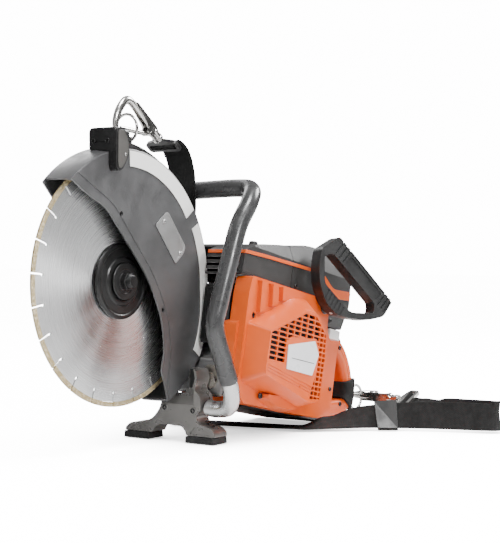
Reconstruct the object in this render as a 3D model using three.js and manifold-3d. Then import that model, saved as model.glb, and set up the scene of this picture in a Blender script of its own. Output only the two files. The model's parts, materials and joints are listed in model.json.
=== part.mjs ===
// A rescue power cutter: a 350 mm blade on a belt-driven arm ahead of a two-stroke engine,
// with a turning blade guard, a wrap-round front handle, a front stand and a carrying strap.
// Millimetres. +X points forward, +Y to the operator's left, +Z up; Z = 0 is the floor.

import * as THREE from 'three';
import { mergeVertices } from 'three/addons/utils/BufferGeometryUtils.js';
import Module from 'manifold-3d';

const wasm = await Module();
wasm.setup();

// Driving dimensions.
const GAP = 0.4;
const BLADE_CENTRE = new THREE.Vector3(171, -33, 235);
const BLADE_RADIUS = 175;
const BLADE_THICKNESS = 3.2;
const BLADE_SLOTS = 24;
const SLOT_DEPTH = 22.5;
const SLOT_WIDTH = 3;
const BLADE_BORE_RADIUS = 12.7;
const FLANGE_RADIUS = 53;
const SPINDLE_RADIUS = 10;
const GUARD_RADIUS = 187;
const GUARD_WALL = 3.5;
const GUARD_SHOULDER = 8;
const GUARD_EDGE = 4;
const GUARD_NEAR = 25;
const GUARD_FAR = -26;
const GUARD_FRONT_ANGLE = 47;
const GUARD_REAR_ANGLE = 247;
const GUARD_SWEPT = 196;
const COLLAR_RADIUS = 28;
const CRANK_AXIS = new THREE.Vector3(-235, 0, -115);
const ENGINE_PITCH = 12;
const ARM_NEAR = -30;
const ARM_FAR = -44;
const BELT_NEAR = -48;
const BELT_FAR = -64;
const DRIVEN_RADIUS = 42;
const DRIVE_RADIUS = 21;
const BELT_THICKNESS = 4;
const BORE_RADIUS = 28;
const CYLINDER_Y = 35;
const CRANK_THROW = 19;
const CRANK_SHAFT_RADIUS = 10;
const FLYWHEEL_RADIUS = 58;
const STARTER_PULLEY_RADIUS = 30;
const HANDLE_TUBE_RADIUS = 9.8;
const HANDLE_ELBOW_RADIUS = 12;
const HANDLE_SLEEVE_RADIUS = 13.2;
const STRAP_WIDTH = 45;
const STRAP_THICKNESS = 2.6;
const HOOK_WIRE_RADIUS = 4.2;
const RING_RADIUS = 20;
const RING_WIRE_RADIUS = 2.2;

const radians = THREE.MathUtils.degToRad;

function finish(color, roughness, metalness) {
  return new THREE.MeshStandardMaterial({ color, roughness, metalness });
}

const finishes = {
  orange: finish(0xe86e23, 0.42, 0),
  charcoal: finish(0x3b3a39, 0.55, 0),
  guardPaint: finish(0x5f5f60, 0.42, 0.25),
  blackPaint: finish(0x1d1c1c, 0.45, 0.2),
  rubber: finish(0x201f1f, 0.8, 0),
  handle: finish(0x4a4a4b, 0.38, 0.3),
  casting: finish(0xa9a9a8, 0.45, 0.85),
  steel: finish(0xc9cac9, 0.28, 1),
  chrome: finish(0xdadbdb, 0.12, 1),
  bladeSteel: finish(0xbcbdbd, 0.3, 1),
  stand: finish(0x4d4a48, 0.5, 0.3),
  webbing: finish(0x262524, 0.85, 0),
  white: finish(0xf2f2f0, 0.35, 0),
  silverPlate: finish(0xb9b9b7, 0.35, 0.3),
  red: finish(0xb52a1c, 0.45, 0),
};

// Solids, joins and cuts.

function solid(geometry) {
  const bare = geometry.clone();
  bare.deleteAttribute('normal');
  bare.deleteAttribute('uv');
  const merged = mergeVertices(bare, 1e-4);
  return new wasm.Manifold(new wasm.Mesh({
    numProp: 3,
    vertProperties: new Float32Array(merged.attributes.position.array),
    triVerts: new Uint32Array(merged.index.array),
  }));
}

function geometryOf(body) {
  const mesh = body.getMesh();
  const geometry = new THREE.BufferGeometry();
  geometry.setAttribute('position', new THREE.BufferAttribute(mesh.vertProperties, 3));
  geometry.setIndex(new THREE.BufferAttribute(mesh.triVerts, 1));
  geometry.computeVertexNormals();
  return geometry;
}

function join(first, ...others) {
  return geometryOf(others.reduce((body, other) => body.add(solid(other)), solid(first)));
}

function cut(first, ...tools) {
  return geometryOf(tools.reduce((body, tool) => body.subtract(solid(tool)), solid(first)));
}

// Outlines. A corner is [x, y] or [x, y, radius].

function outline(corners, radius = 0) {
  const shape = new THREE.Shape();
  corners.forEach(([x, y, own], index) => {
    const corner = new THREE.Vector2(x, y);
    const before = new THREE.Vector2(...corners.at(index - 1));
    const after = new THREE.Vector2(...corners[(index + 1) % corners.length]);
    const reach = Math.min(own ?? radius, 0.45 * corner.distanceTo(before), 0.45 * corner.distanceTo(after));
    const start = corner.clone().lerp(before, reach / corner.distanceTo(before));
    const end = corner.clone().lerp(after, reach / corner.distanceTo(after));
    if (index === 0) {
      shape.moveTo(start.x, start.y);
    } else {
      shape.lineTo(start.x, start.y);
    }
    if (reach > 0) {
      shape.quadraticCurveTo(x, y, end.x, end.y);
    }
  });
  shape.closePath();
  return shape;
}

function circle(radius, x = 0, y = 0) {
  const shape = new THREE.Shape();
  shape.absarc(x, y, radius, 0, 2 * Math.PI);
  return shape;
}

function ringSector(inner, outer, fromDegrees, toDegrees) {
  const shape = new THREE.Shape();
  shape.absarc(0, 0, outer, radians(fromDegrees), radians(toDegrees), false);
  shape.absarc(0, 0, inner, radians(toDegrees), radians(fromDegrees), true);
  shape.closePath();
  return shape;
}

// A shape drawn in the X-Y plane, thickened from low to high along Z, its edges chamfered.
function slab(shape, low, high, edge = 0, curveSegments = 4) {
  const geometry = new THREE.ExtrudeGeometry(shape, {
    depth: high - low - 2 * edge,
    bevelEnabled: edge > 0,
    bevelThickness: edge,
    bevelSize: edge,
    bevelOffset: -edge,
    bevelSegments: 1,
    curveSegments,
  });
  return geometry.translate(0, 0, low + edge);
}

// A side-view shape (X, Z) thickened along Y.
function sideSlab(shape, yLow, yHigh, edge = 0, curveSegments = 4) {
  return slab(shape, -yHigh, -yLow, edge, curveSegments).rotateX(Math.PI / 2);
}

// A front-view shape (Y, Z) thickened along X.
function frontSlab(shape, xLow, xHigh, edge = 0, curveSegments = 4) {
  return slab(shape, xLow, xHigh, edge, curveSegments).rotateX(Math.PI / 2).rotateZ(Math.PI / 2);
}

function block(xLow, xHigh, yLow, yHigh, zLow, zHigh) {
  const geometry = new THREE.BoxGeometry(xHigh - xLow, yHigh - yLow, zHigh - zLow);
  return geometry.translate((xLow + xHigh) / 2, (yLow + yHigh) / 2, (zLow + zHigh) / 2);
}

// A profile of [radius, y] turned about the Y axis.
function turned(profile, segments = 24) {
  return new THREE.LatheGeometry(profile.map(([radius, y]) => new THREE.Vector2(radius, y)), segments);
}

function disc(radius, yLow, yHigh, segments = 24) {
  return turned([[0, yLow], [radius, yLow], [radius, yHigh], [0, yHigh]], segments);
}

function washer(inner, outer, yLow, yHigh, segments = 24) {
  return turned([[inner, yLow], [outer, yLow], [outer, yHigh], [inner, yHigh], [inner, yLow]], segments);
}

function rod(radius, from, to, sides = 12) {
  const along = new THREE.Vector3().subVectors(to, from);
  const geometry = new THREE.CylinderGeometry(radius, radius, along.length(), sides);
  geometry.applyQuaternion(new THREE.Quaternion().setFromUnitVectors(
    new THREE.Vector3(0, 1, 0),
    along.clone().normalize(),
  ));
  return geometry.translate(...from.clone().lerp(to, 0.5).toArray());
}

function curveThrough(points, tension = 0.5) {
  return new THREE.CatmullRomCurve3(points.map((p) => new THREE.Vector3(...p)), false, 'catmullrom', tension);
}

function sweep(shape, curve, steps, curveSegments = 4) {
  return new THREE.ExtrudeGeometry(shape, {
    steps,
    extrudePath: curve,
    bevelEnabled: false,
    curveSegments,
  });
}

// Placing sub-parts.

const saw = new THREE.Group();
const machine = new THREE.Group();
machine.position.copy(BLADE_CENTRE);
saw.add(machine);
const engine = new THREE.Group();
engine.position.copy(CRANK_AXIS);
engine.rotation.y = -radians(ENGINE_PITCH);
machine.add(engine);

function addPart(group, name, geometry, material) {
  const mesh = new THREE.Mesh(geometry, material);
  mesh.name = name;
  group.add(mesh);
  return mesh;
}

function guardSweep(clearance) {
  return disc(GUARD_SWEPT + clearance, GUARD_FAR - 4 - clearance, GUARD_NEAR + 3 + clearance, 48);
}

// The same clearance, in the pitched engine group's frame.
function guardSweepInEngine(clearance) {
  engine.updateMatrix();
  return guardSweep(clearance).applyMatrix4(engine.matrix.clone().invert());
}

// Blade and spindle.

function bladeShape() {
  const shape = new THREE.Shape();
  const pitch = (2 * Math.PI) / BLADE_SLOTS;
  const halfAngle = SLOT_WIDTH / 2 / BLADE_RADIUS;
  for (let slot = 0; slot < BLADE_SLOTS; slot += 1) {
    const middle = slot * pitch + radians(4.9);
    const bottom = BLADE_RADIUS - SLOT_DEPTH;
    shape.absarc(0, 0, BLADE_RADIUS, middle - pitch + halfAngle, middle - halfAngle, false);
    shape.lineTo(bottom * Math.cos(middle - halfAngle), bottom * Math.sin(middle - halfAngle));
    shape.lineTo(bottom * Math.cos(middle + halfAngle), bottom * Math.sin(middle + halfAngle));
  }
  shape.closePath();
  shape.holes.push(circle(BLADE_BORE_RADIUS));
  return shape;
}

function flange(yLow, yHigh, dish) {
  return turned([
    [SPINDLE_RADIUS + GAP, yLow], [FLANGE_RADIUS - dish, yLow], [FLANGE_RADIUS, yLow + dish],
    [FLANGE_RADIUS, yHigh], [SPINDLE_RADIUS + GAP, yHigh], [SPINDLE_RADIUS + GAP, yLow],
  ]);
}

function addBladeAssembly() {
  const half = BLADE_THICKNESS / 2;
  addPart(machine, 'blade', sideSlab(bladeShape(), -half, half, 0, 3), finishes.bladeSteel);
  const outer = flange(-half - 8, -half - GAP, 3).rotateX(Math.PI);
  addPart(machine, 'outer_flange', outer, finishes.blackPaint);
  addPart(machine, 'inner_flange', flange(-half - 8, -half - GAP, 3), finishes.blackPaint);
  const bolt = turned([
    [0, 10.4], [26, 10.4], [26, 13], [20, 18], [14, 20], [14, 27], [11, 29], [0, 29],
  ], 18);
  addPart(machine, 'blade_bolt', bolt, finishes.steel);
  const shaft = disc(SPINDLE_RADIUS, BELT_FAR - 4, 10, 20);
  addPart(machine, 'spindle', shaft, finishes.steel);
  const pulley = washer(SPINDLE_RADIUS + GAP, DRIVEN_RADIUS, BELT_FAR, BELT_NEAR, 32);
  addPart(machine, 'driven_pulley', pulley, finishes.casting);
}

// Guard and what rides on it.

// Radii of the guard's crown and of the outer edge of its near face, at angles from straight ahead.
// Behind the blade the crown slopes in to the near face, and low down it runs nearly straight.
const GUARD_OUTLINE = [
  [0, GUARD_RADIUS, 187], [88, GUARD_RADIUS, 183.5], [143, GUARD_RADIUS, 173.5], [160, GUARD_RADIUS, 171.5],
  [185, 188, 173], [200, 190, 182], [216, 192, 191], [360, 192, 191],
];

function guardRadii(degrees) {
  const next = GUARD_OUTLINE.findIndex(([angle]) => angle >= degrees);
  const [toAngle, toCrown, toFace] = GUARD_OUTLINE[Math.max(next, 1)];
  const [fromAngle, fromCrown, fromFace] = GUARD_OUTLINE[Math.max(next, 1) - 1];
  const share = (degrees - fromAngle) / (toAngle - fromAngle);
  return {
    crown: THREE.MathUtils.lerp(fromCrown, toCrown, share),
    face: THREE.MathUtils.lerp(fromFace, toFace, share),
  };
}

// The whole round body of the guard, drawn in by inset on every side.
function guardBody(inset) {
  const far = GUARD_FAR + inset;
  const near = GUARD_NEAR - inset;
  const crown = GUARD_RADIUS - inset;
  const geometry = turned([
    [0, far], [crown - GUARD_EDGE, far], [crown, far + GUARD_EDGE], [crown, GUARD_SHOULDER], [crown, near], [0, near],
  ], 72);
  const place = geometry.attributes.position;
  for (let index = 0; index < place.count; index += 1) {
    const x = place.getX(index);
    const y = place.getY(index);
    const z = place.getZ(index);
    const radius = Math.hypot(x, z);
    if (radius > 1) {
      const around = THREE.MathUtils.radToDeg(Math.atan2(z, x));
      const radii = guardRadii(around < 0 ? around + 360 : around);
      const wanted = (y > GUARD_SHOULDER + 1 ? radii.face : radii.crown) - inset + (radius - crown);
      place.setX(index, (x * wanted) / radius);
      place.setZ(index, (z * wanted) / radius);
    }
  }
  return geometry;
}

function guardShell() {
  const front = radians(GUARD_FRONT_ANGLE);
  const rear = radians(GUARD_REAR_ANGLE);
  const reach = 260;
  const openSide = outline([
    [reach * Math.cos(front), reach * Math.sin(front)], [70, 74], [52, 0], [34, -40], [-10, -52], [-46, -72],
    [reach * Math.cos(rear), reach * Math.sin(rear)], [reach, -reach],
  ]);
  const nearEdge = outline([
    [205, 187], [137, 147], [93, 120], [52, 101, 12], [-38, 1, 30], [-67, -56, 20],
    [-72, -102, 12], [-63, -134, 10], [-72, -165], [-78, -230], [230, -230],
  ]);
  return cut(
    guardBody(0),
    guardBody(GUARD_WALL),
    sideSlab(openSide, GUARD_FAR - 5, GUARD_NEAR + 5),
    sideSlab(nearEdge, GUARD_FAR + 5, GUARD_NEAR + 15),
    disc(COLLAR_RADIUS + 1, GUARD_FAR - 5, GUARD_FAR + 8, 24),
  );
}

function guardHandle() {
  const fullGrip = join(
    frontSlab(outline([[-10, 180], [38, 180], [38, 211], [-10, 211]], 6), 20, 50, 2.2, 3),
    frontSlab(outline([[25.5, 150], [38, 150], [38, 200], [25.5, 200]], 2.5), 22, 48, 1, 2),
  );
  const rail = sideSlab(ringSector(180, 198, 82, 124), -30, -6, 0, 12);
  const lug = block(-60, -44, -34, -26, 186, 206);
  return cut(
    join(fullGrip, rail, lug),
    guardBody(-GAP),
    disc(3.4, -40, -20, 12).translate(TOP_RING.x, 0, TOP_RING.z - RING_RADIUS),
  );
}

const TOP_RING = new THREE.Vector3(-52, -30, 218);

// A strip that follows the outer edge of the near face, from one depth inside it to another.
function faceStrip(fromDegrees, toDegrees, outerInset, innerInset) {
  const steps = 14;
  const outer = [];
  const inner = [];
  for (let step = 0; step <= steps; step += 1) {
    const degrees = THREE.MathUtils.lerp(fromDegrees, toDegrees, step / steps);
    const { face } = guardRadii(degrees);
    const direction = new THREE.Vector2(Math.cos(radians(degrees)), Math.sin(radians(degrees)));
    outer.push(direction.clone().multiplyScalar(face - outerInset).toArray());
    inner.push(direction.clone().multiplyScalar(face - innerInset).toArray());
  }
  return outline([...outer, ...inner.reverse()]);
}

function guardTrim(name, shape, material) {
  addPart(machine, name, sideSlab(shape, GUARD_NEAR + GAP, GUARD_NEAR + 1.4, 0, 10), material);
}

function addGuard() {
  addPart(machine, 'guard_shell', guardShell(), finishes.guardPaint);
  addPart(machine, 'guard_handle', guardHandle(), finishes.blackPaint);
  guardTrim('guard_band', faceStrip(88, 143.5, 2, 24), finishes.white);
  guardTrim('guard_reflector', faceStrip(151, 217, 2, 20), finishes.silverPlate);
  guardTrim('guard_plate', outline([
    [-49.5, 79.7], [-76.4, 99.7], [-117.9, 48.1], [-113.2, 38], [-94.5, 23.5],
  ], 4), finishes.silverPlate);
}

// Rings and snap hooks of the carrying strap.

function addRing(name, centre) {
  const ring = new THREE.TorusGeometry(RING_RADIUS, RING_WIRE_RADIUS, 6, 20);
  const mesh = addPart(machine, name, ring, finishes.chrome);
  mesh.position.copy(centre);
  return mesh;
}

// A snap hook lies in its own X-Y plane: the strap eye at the origin, the hook's nose along +X
// and its mouth towards +Y.
const HOOK_PATH = [
  [30, 0, 0], [60, 0, 0], [90, -1, 0], [103, 5, 0], [106, 22, 0], [103, 39, 0], [97, 49, 0], [90, 53, 0],
];
const GATE_PIVOT = [37, 11, 0];
const GATE_END = [87.5, 44, 0];

function hookBody() {
  const barrel = disc(8, 12, 33, 12).rotateZ(-Math.PI / 2);
  const knuckle = slab(outline([[30, -6], [44, -4], [44, 13], [30, 8]], 3), -6.5, 6.5, 1, 2);
  const mouth = slab(outline([[33, 4.5], [60, 4.5], [60, 30], [33, 20]]), -3.4, 3.4);
  const wire = sweep(circle(HOOK_WIRE_RADIUS), curveThrough(HOOK_PATH), 22, 4);
  return join(cut(join(barrel, knuckle), mouth), wire);
}

function hookGate() {
  return rod(2.6, new THREE.Vector3(...GATE_PIVOT), new THREE.Vector3(...GATE_END), 8);
}

function hookEye() {
  const plate = frontSlab(outline([[-29, -12], [29, -12], [29, 6], [8, 11.5], [-8, 11.5], [-29, 6]], 4), -2.5, 2.5, 0, 2);
  const slot = frontSlab(outline([[-24, -7], [24, -7], [24, 2], [-24, 2]]), -5, 5);
  return cut(plate, slot).rotateX(Math.PI / 2).rotateZ(Math.PI / 2);
}

function addHook(prefix, eye, nose, mouth, eyeRoll) {
  const axis = nose.clone().normalize();
  const side = mouth.clone().addScaledVector(axis, -mouth.dot(axis)).normalize();
  const basis = new THREE.Matrix4().makeBasis(axis, side, new THREE.Vector3().crossVectors(axis, side));
  const hook = new THREE.Group();
  hook.position.copy(eye);
  hook.quaternion.setFromRotationMatrix(basis);
  machine.add(hook);
  addPart(hook, `${prefix}_hook_body`, hookBody(), finishes.chrome);
  addPart(hook, `${prefix}_hook_gate`, hookGate(), finishes.chrome);
  addPart(hook, `${prefix}_hook_eye`, hookEye(), finishes.chrome).rotation.x = radians(eyeRoll);
}

const TOP_EYE = new THREE.Vector3(-135, -30, 198);
const REAR_EYE = new THREE.Vector3(-545, 150, -206);
const REAR_RING = new THREE.Vector3(-548, 52, -207);

function addCarryingHardware() {
  addRing('top_ring', TOP_RING).rotation.y = Math.PI / 2;
  addRing('rear_ring', REAR_RING).rotation.x = Math.PI / 2;
  addHook('top', TOP_EYE, new THREE.Vector3(83, 0, 66), new THREE.Vector3(1, 0, -1), 0);
  addHook('rear', REAR_EYE, new THREE.Vector3(-6, -98, 2), new THREE.Vector3(-1, 0, 0), 65);
}

// The strap: a flat ribbon through stations of [x, y, z, across-x, across-y, across-z].
const STRAP_STATIONS = [
  [-132.5, -30, 193.5, 0, 1, 0],
  [-146, -29, 203.5, 0, 1, 0],
  [-159, -24, 190, -0.1, 1, -0.1],
  [-165, -18, 160, -0.1, 1, 0],
  [-166, -18, 124, -0.25, 0.95, 0],
  [-182, -34, 92, -0.6, 0.8, 0],
  [-208, -58, 76, -0.8, 0.5, -0.2],
  [-232, -84, 50, -0.95, 0.2, -0.3],
  [-243, -100, 5, -1, 0, -0.1],
  [-247, -104, -60, -1, 0, 0],
  [-250, -108, -140, -1, 0, 0],
  [-256, -112, -205, -1, 0, 0],
  [-268, -100, -232, -1, 0.1, 0],
  [-285, -50, -233, -1, 0.1, 0],
  [-300, 20, -233, -1, 0.25, 0],
  [-316, 88, -233, -0.9, 0.4, 0],
  [-352, 132, -231, -0.75, 0.6, 0.15],
  [-395, 190, -222, -0.7, 0.4, 0.5],
  [-428, 255, -216, -0.6, 0.25, 0.8],
  [-450, 315, -214, -0.55, 0.1, 0.85],
  [-463, 348, -213, -0.5, -0.1, 0.85],
  [-476, 352, -212, -0.3, -0.3, 0.9],
  [-487, 335, -212, -0.35, 0.2, 0.9],
  [-498, 290, -214, -0.45, 0.2, 0.85],
  [-520, 225, -217, -0.6, 0.1, 0.7],
  [-539, 184, -213, -0.85, 0, 0.45],
  [-546, 166, -213, -0.9, 0, 0.42],
  [-547, 155, -210.5, -0.9, 0, 0.42],
  [-542.3, 151.8, -200.6, -0.9, 0, 0.42],
];
const STRAP_STEPS = 72;

function strapFrame(amount) {
  const middle = curveThrough(STRAP_STATIONS.map((s) => s.slice(0, 3)));
  const spread = curveThrough(STRAP_STATIONS.map((s) => s.slice(3)));
  const centre = middle.getPoint(amount);
  const along = middle.getTangent(amount);
  const across = spread.getPoint(amount);
  across.addScaledVector(along, -across.dot(along)).normalize();
  const through = new THREE.Vector3().crossVectors(along, across);
  const reach = Math.abs(across.z) * (STRAP_WIDTH / 2 + 3) + Math.abs(through.z) * (STRAP_THICKNESS / 2 + 3);
  centre.z = Math.max(centre.z, reach - BLADE_CENTRE.z);
  return { centre, across, through };
}

// A ribbon as one closed solid: a rectangular section carried along the stations.
function ribbon(width, thickness, from, to, steps) {
  const positions = [];
  const faces = [];
  for (let step = 0; step <= steps; step += 1) {
    const { centre, across, through } = strapFrame(from + ((to - from) * step) / steps);
    [[-1, -1], [1, -1], [1, 1], [-1, 1]].forEach(([side, layer]) => {
      const corner = centre.clone();
      corner.addScaledVector(across, (side * width) / 2);
      corner.addScaledVector(through, (layer * thickness) / 2);
      positions.push(corner.x, corner.y, corner.z);
    });
  }
  for (let step = 0; step < steps; step += 1) {
    const here = 4 * step;
    for (let side = 0; side < 4; side += 1) {
      const a = here + side;
      const b = here + ((side + 1) % 4);
      faces.push(a, b, b + 4, a, b + 4, a + 4);
    }
  }
  const last = 4 * steps;
  faces.push(0, 2, 1, 0, 3, 2, last, last + 1, last + 2, last, last + 2, last + 3);
  const geometry = new THREE.BufferGeometry();
  geometry.setAttribute('position', new THREE.Float32BufferAttribute(positions, 3));
  geometry.setIndex(faces);
  return geometry;
}

function addStrap() {
  addPart(machine, 'strap_webbing', ribbon(STRAP_WIDTH, STRAP_THICKNESS, 0, 1, STRAP_STEPS), finishes.webbing);
  const along = 0.612;
  const half = 0.008;
  const slider = cut(
    ribbon(STRAP_WIDTH + 6, STRAP_THICKNESS + 5, along - half, along + half, 1),
    ribbon(STRAP_WIDTH + 2, STRAP_THICKNESS + 1.2, along - 2 * half, along + 2 * half, 2),
  );
  addPart(machine, 'strap_slider', slider, finishes.casting);
}

// Front stand.

function standCasting() {
  const face = outline([
    [-79, -224.6, 2], [-27, -224.6, 2], [-22, -216, 3], [-10, -211, 4], [28, -212, 4], [34, -219, 3],
    [36, -224.6, 2], [88, -224.6, 2], [87, -218, 4], [80, -213, 4], [56, -207, 5], [53, -197, 5],
    [62, -185, 5], [62, -165, 5], [50, -157, 4], [57, -140, 4], [53, -128, 4], [30, -128, 4],
    [28.5, -165, 2], [-7, -167, 2], [-13, -188, 5], [-28, -205, 6], [-70, -214, 6], [-78, -220, 3],
  ]);
  const recess = outline([[24, -158], [48, -158], [53, -140], [50, -120], [24, -120]]);
  return cut(frontSlab(face, -136, -106, 1.5, 2), frontSlab(recess, -122, -100));
}

function addStand() {
  addPart(machine, 'stand', standCasting(), finishes.stand);
  [['stand_pad_right', -79, -31], ['stand_pad_left', 36, 87]].forEach(([name, low, high]) => {
    const pad = frontSlab(outline([[low, -235], [high, -235], [high - 1.5, -225], [low + 1.5, -225]], 1.5), -137, -103, 2, 1);
    addPart(machine, name, pad, finishes.rubber);
  });
}

// Front handle: a bent tube from the stand, over the saw and down to the arm, with a sleeve.

const HANDLE_PATH = [
  [-121, 65, -184], [-121, 82, -185], [-118, 104, -180], [-105, 118, -157], [-91, 115, -115],
  [-77, 110, -66], [-86, 111, -30], [-107, 112, 24], [-131, 111, 76], [-158, 111, 111], [-180, 99, 130],
  [-187, 70, 134], [-185, 0, 132], [-184, -44, 130], [-180, -70, 121], [-171, -83, 96], [-156, -88, 56],
  [-148, -76, 32], [-144, -54, 18], [-142, -38, 1],
];
const HANDLE_STEPS = 60;
const SLEEVE_SPAN = [0.118, 0.93];
const ELBOW_SPAN = [0, 0.113];

function handleCurve(from, to) {
  const whole = curveThrough(HANDLE_PATH);
  const points = [];
  for (let step = 0; step <= HANDLE_STEPS; step += 1) {
    points.push(whole.getPointAt(from + ((to - from) * step) / HANDLE_STEPS).toArray());
  }
  return curveThrough(points);
}

function addFrontHandle() {
  const core = sweep(circle(HANDLE_TUBE_RADIUS), handleCurve(0, 1), 44, 4);
  const elbow = sweep(circle(HANDLE_ELBOW_RADIUS), handleCurve(...ELBOW_SPAN), 10, 4);
  addPart(machine, 'front_handle_tube', join(core, elbow), finishes.casting);
  const section = circle(HANDLE_SLEEVE_RADIUS);
  section.holes.push(circle(HANDLE_TUBE_RADIUS + 2));
  const sleeve = sweep(section, handleCurve(...SLEEVE_SPAN), 38, 4);
  addPart(machine, 'front_handle_sleeve', sleeve, finishes.handle);
}

// Cutting arm, its bearing, the belt drive and the belt guard.

const ARM_LENGTH = Math.hypot(CRANK_AXIS.x, CRANK_AXIS.z);
const ARM_SLOPE = Math.atan2(-CRANK_AXIS.z, -CRANK_AXIS.x);

// The outline round two circles, drawn from the crank end (origin) to the spindle end (+X).
function beltLine(crankRadius, spindleRadius) {
  const lean = Math.acos((crankRadius - spindleRadius) / ARM_LENGTH);
  const shape = new THREE.Shape();
  shape.absarc(0, 0, crankRadius, lean, 2 * Math.PI - lean, false);
  shape.absarc(ARM_LENGTH, 0, spindleRadius, -lean, lean, false);
  shape.closePath();
  return shape;
}

function addArmAssembly() {
  const arm = new THREE.Group();
  arm.position.copy(CRANK_AXIS);
  arm.rotation.y = -ARM_SLOPE;
  machine.add(arm);
  const plate = sideSlab(beltLine(56, 44), ARM_FAR, ARM_NEAR, 2, 12);
  const collar = disc(COLLAR_RADIUS, ARM_NEAR - 1, -BLADE_THICKNESS / 2 - 9.5).translate(ARM_LENGTH, 0, 0);
  const casting = cut(
    join(plate, collar),
    disc(22, ARM_FAR - 1, 0).translate(ARM_LENGTH, 0, 0),
    disc(CRANK_SHAFT_RADIUS + 1, ARM_FAR - 1, ARM_NEAR + 1),
  );
  addPart(arm, 'cutting_arm', casting, finishes.casting);
  const bearing = washer(SPINDLE_RADIUS + GAP, 22 - GAP, ARM_FAR + 2, -13);
  addPart(arm, 'spindle_bearing', bearing.translate(ARM_LENGTH, 0, 0), finishes.steel);
  const cover = cut(
    sideSlab(beltLine(58, 52), -87, ARM_FAR - GAP, 3, 12),
    sideSlab(beltLine(54.5, 48.5), -83.5, ARM_FAR + 1, 0, 12),
  );
  addPart(arm, 'belt_guard', cover, finishes.charcoal);
  const belt = beltLine(DRIVE_RADIUS + GAP + BELT_THICKNESS, DRIVEN_RADIUS + GAP + BELT_THICKNESS);
  belt.holes.push(beltLine(DRIVE_RADIUS + GAP, DRIVEN_RADIUS + GAP));
  addPart(arm, 'drive_belt', sideSlab(belt, BELT_FAR + 1, BELT_NEAR - 1, 0, 12), finishes.rubber);
}

function addDrive() {
  const drum = turned([
    [CRANK_SHAFT_RADIUS + GAP, -66], [33, -66], [33, -80], [36, -80], [36, BELT_FAR], [DRIVE_RADIUS, BELT_FAR],
    [DRIVE_RADIUS, BELT_NEAR], [CRANK_SHAFT_RADIUS + GAP, BELT_NEAR], [CRANK_SHAFT_RADIUS + GAP, -66],
  ]);
  addPart(engine, 'clutch_drum', drum, finishes.steel);
  const hub = washer(CRANK_SHAFT_RADIUS + GAP, 31, -79, -68, 20);
  addPart(engine, 'clutch_hub', hub, finishes.casting);
  const shaft = turned([
    [0, -81], [CRANK_SHAFT_RADIUS, -81], [CRANK_SHAFT_RADIUS, 15], [35, 15], [35, 25], [0, 25],
  ]);
  const tail = turned([
    [0, 45], [35, 45], [35, 55], [CRANK_SHAFT_RADIUS, 55], [CRANK_SHAFT_RADIUS, 103], [0, 103],
  ]);
  const pin = disc(7, 24, 46, 14).translate(0, 0, CRANK_THROW);
  addPart(engine, 'crankshaft', join(shaft, tail, pin), finishes.steel);
  const wheel = turned([
    [CRANK_SHAFT_RADIUS + GAP, 79.5], [FLYWHEEL_RADIUS, 79.5], [FLYWHEEL_RADIUS, 100], [54, 100], [50, 86],
    [18, 86], [18, 98], [CRANK_SHAFT_RADIUS + GAP, 98], [CRANK_SHAFT_RADIUS + GAP, 79.5],
  ]);
  addPart(engine, 'flywheel', wheel, finishes.casting);
  const rope = STARTER_PULLEY_RADIUS;
  const pulley = turned([
    [7.5, 108], [rope + 3, 108], [rope + 3, 110], [rope - 4, 112], [rope - 4, 117], [rope + 3, 119],
    [rope + 3, 121], [7.5, 121], [7.5, 108],
  ]);
  addPart(engine, 'starter_pulley', pulley, finishes.rubber);
}

// Engine core, in the pitched group: X forward along the engine, Z away from the crank axis.

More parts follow.
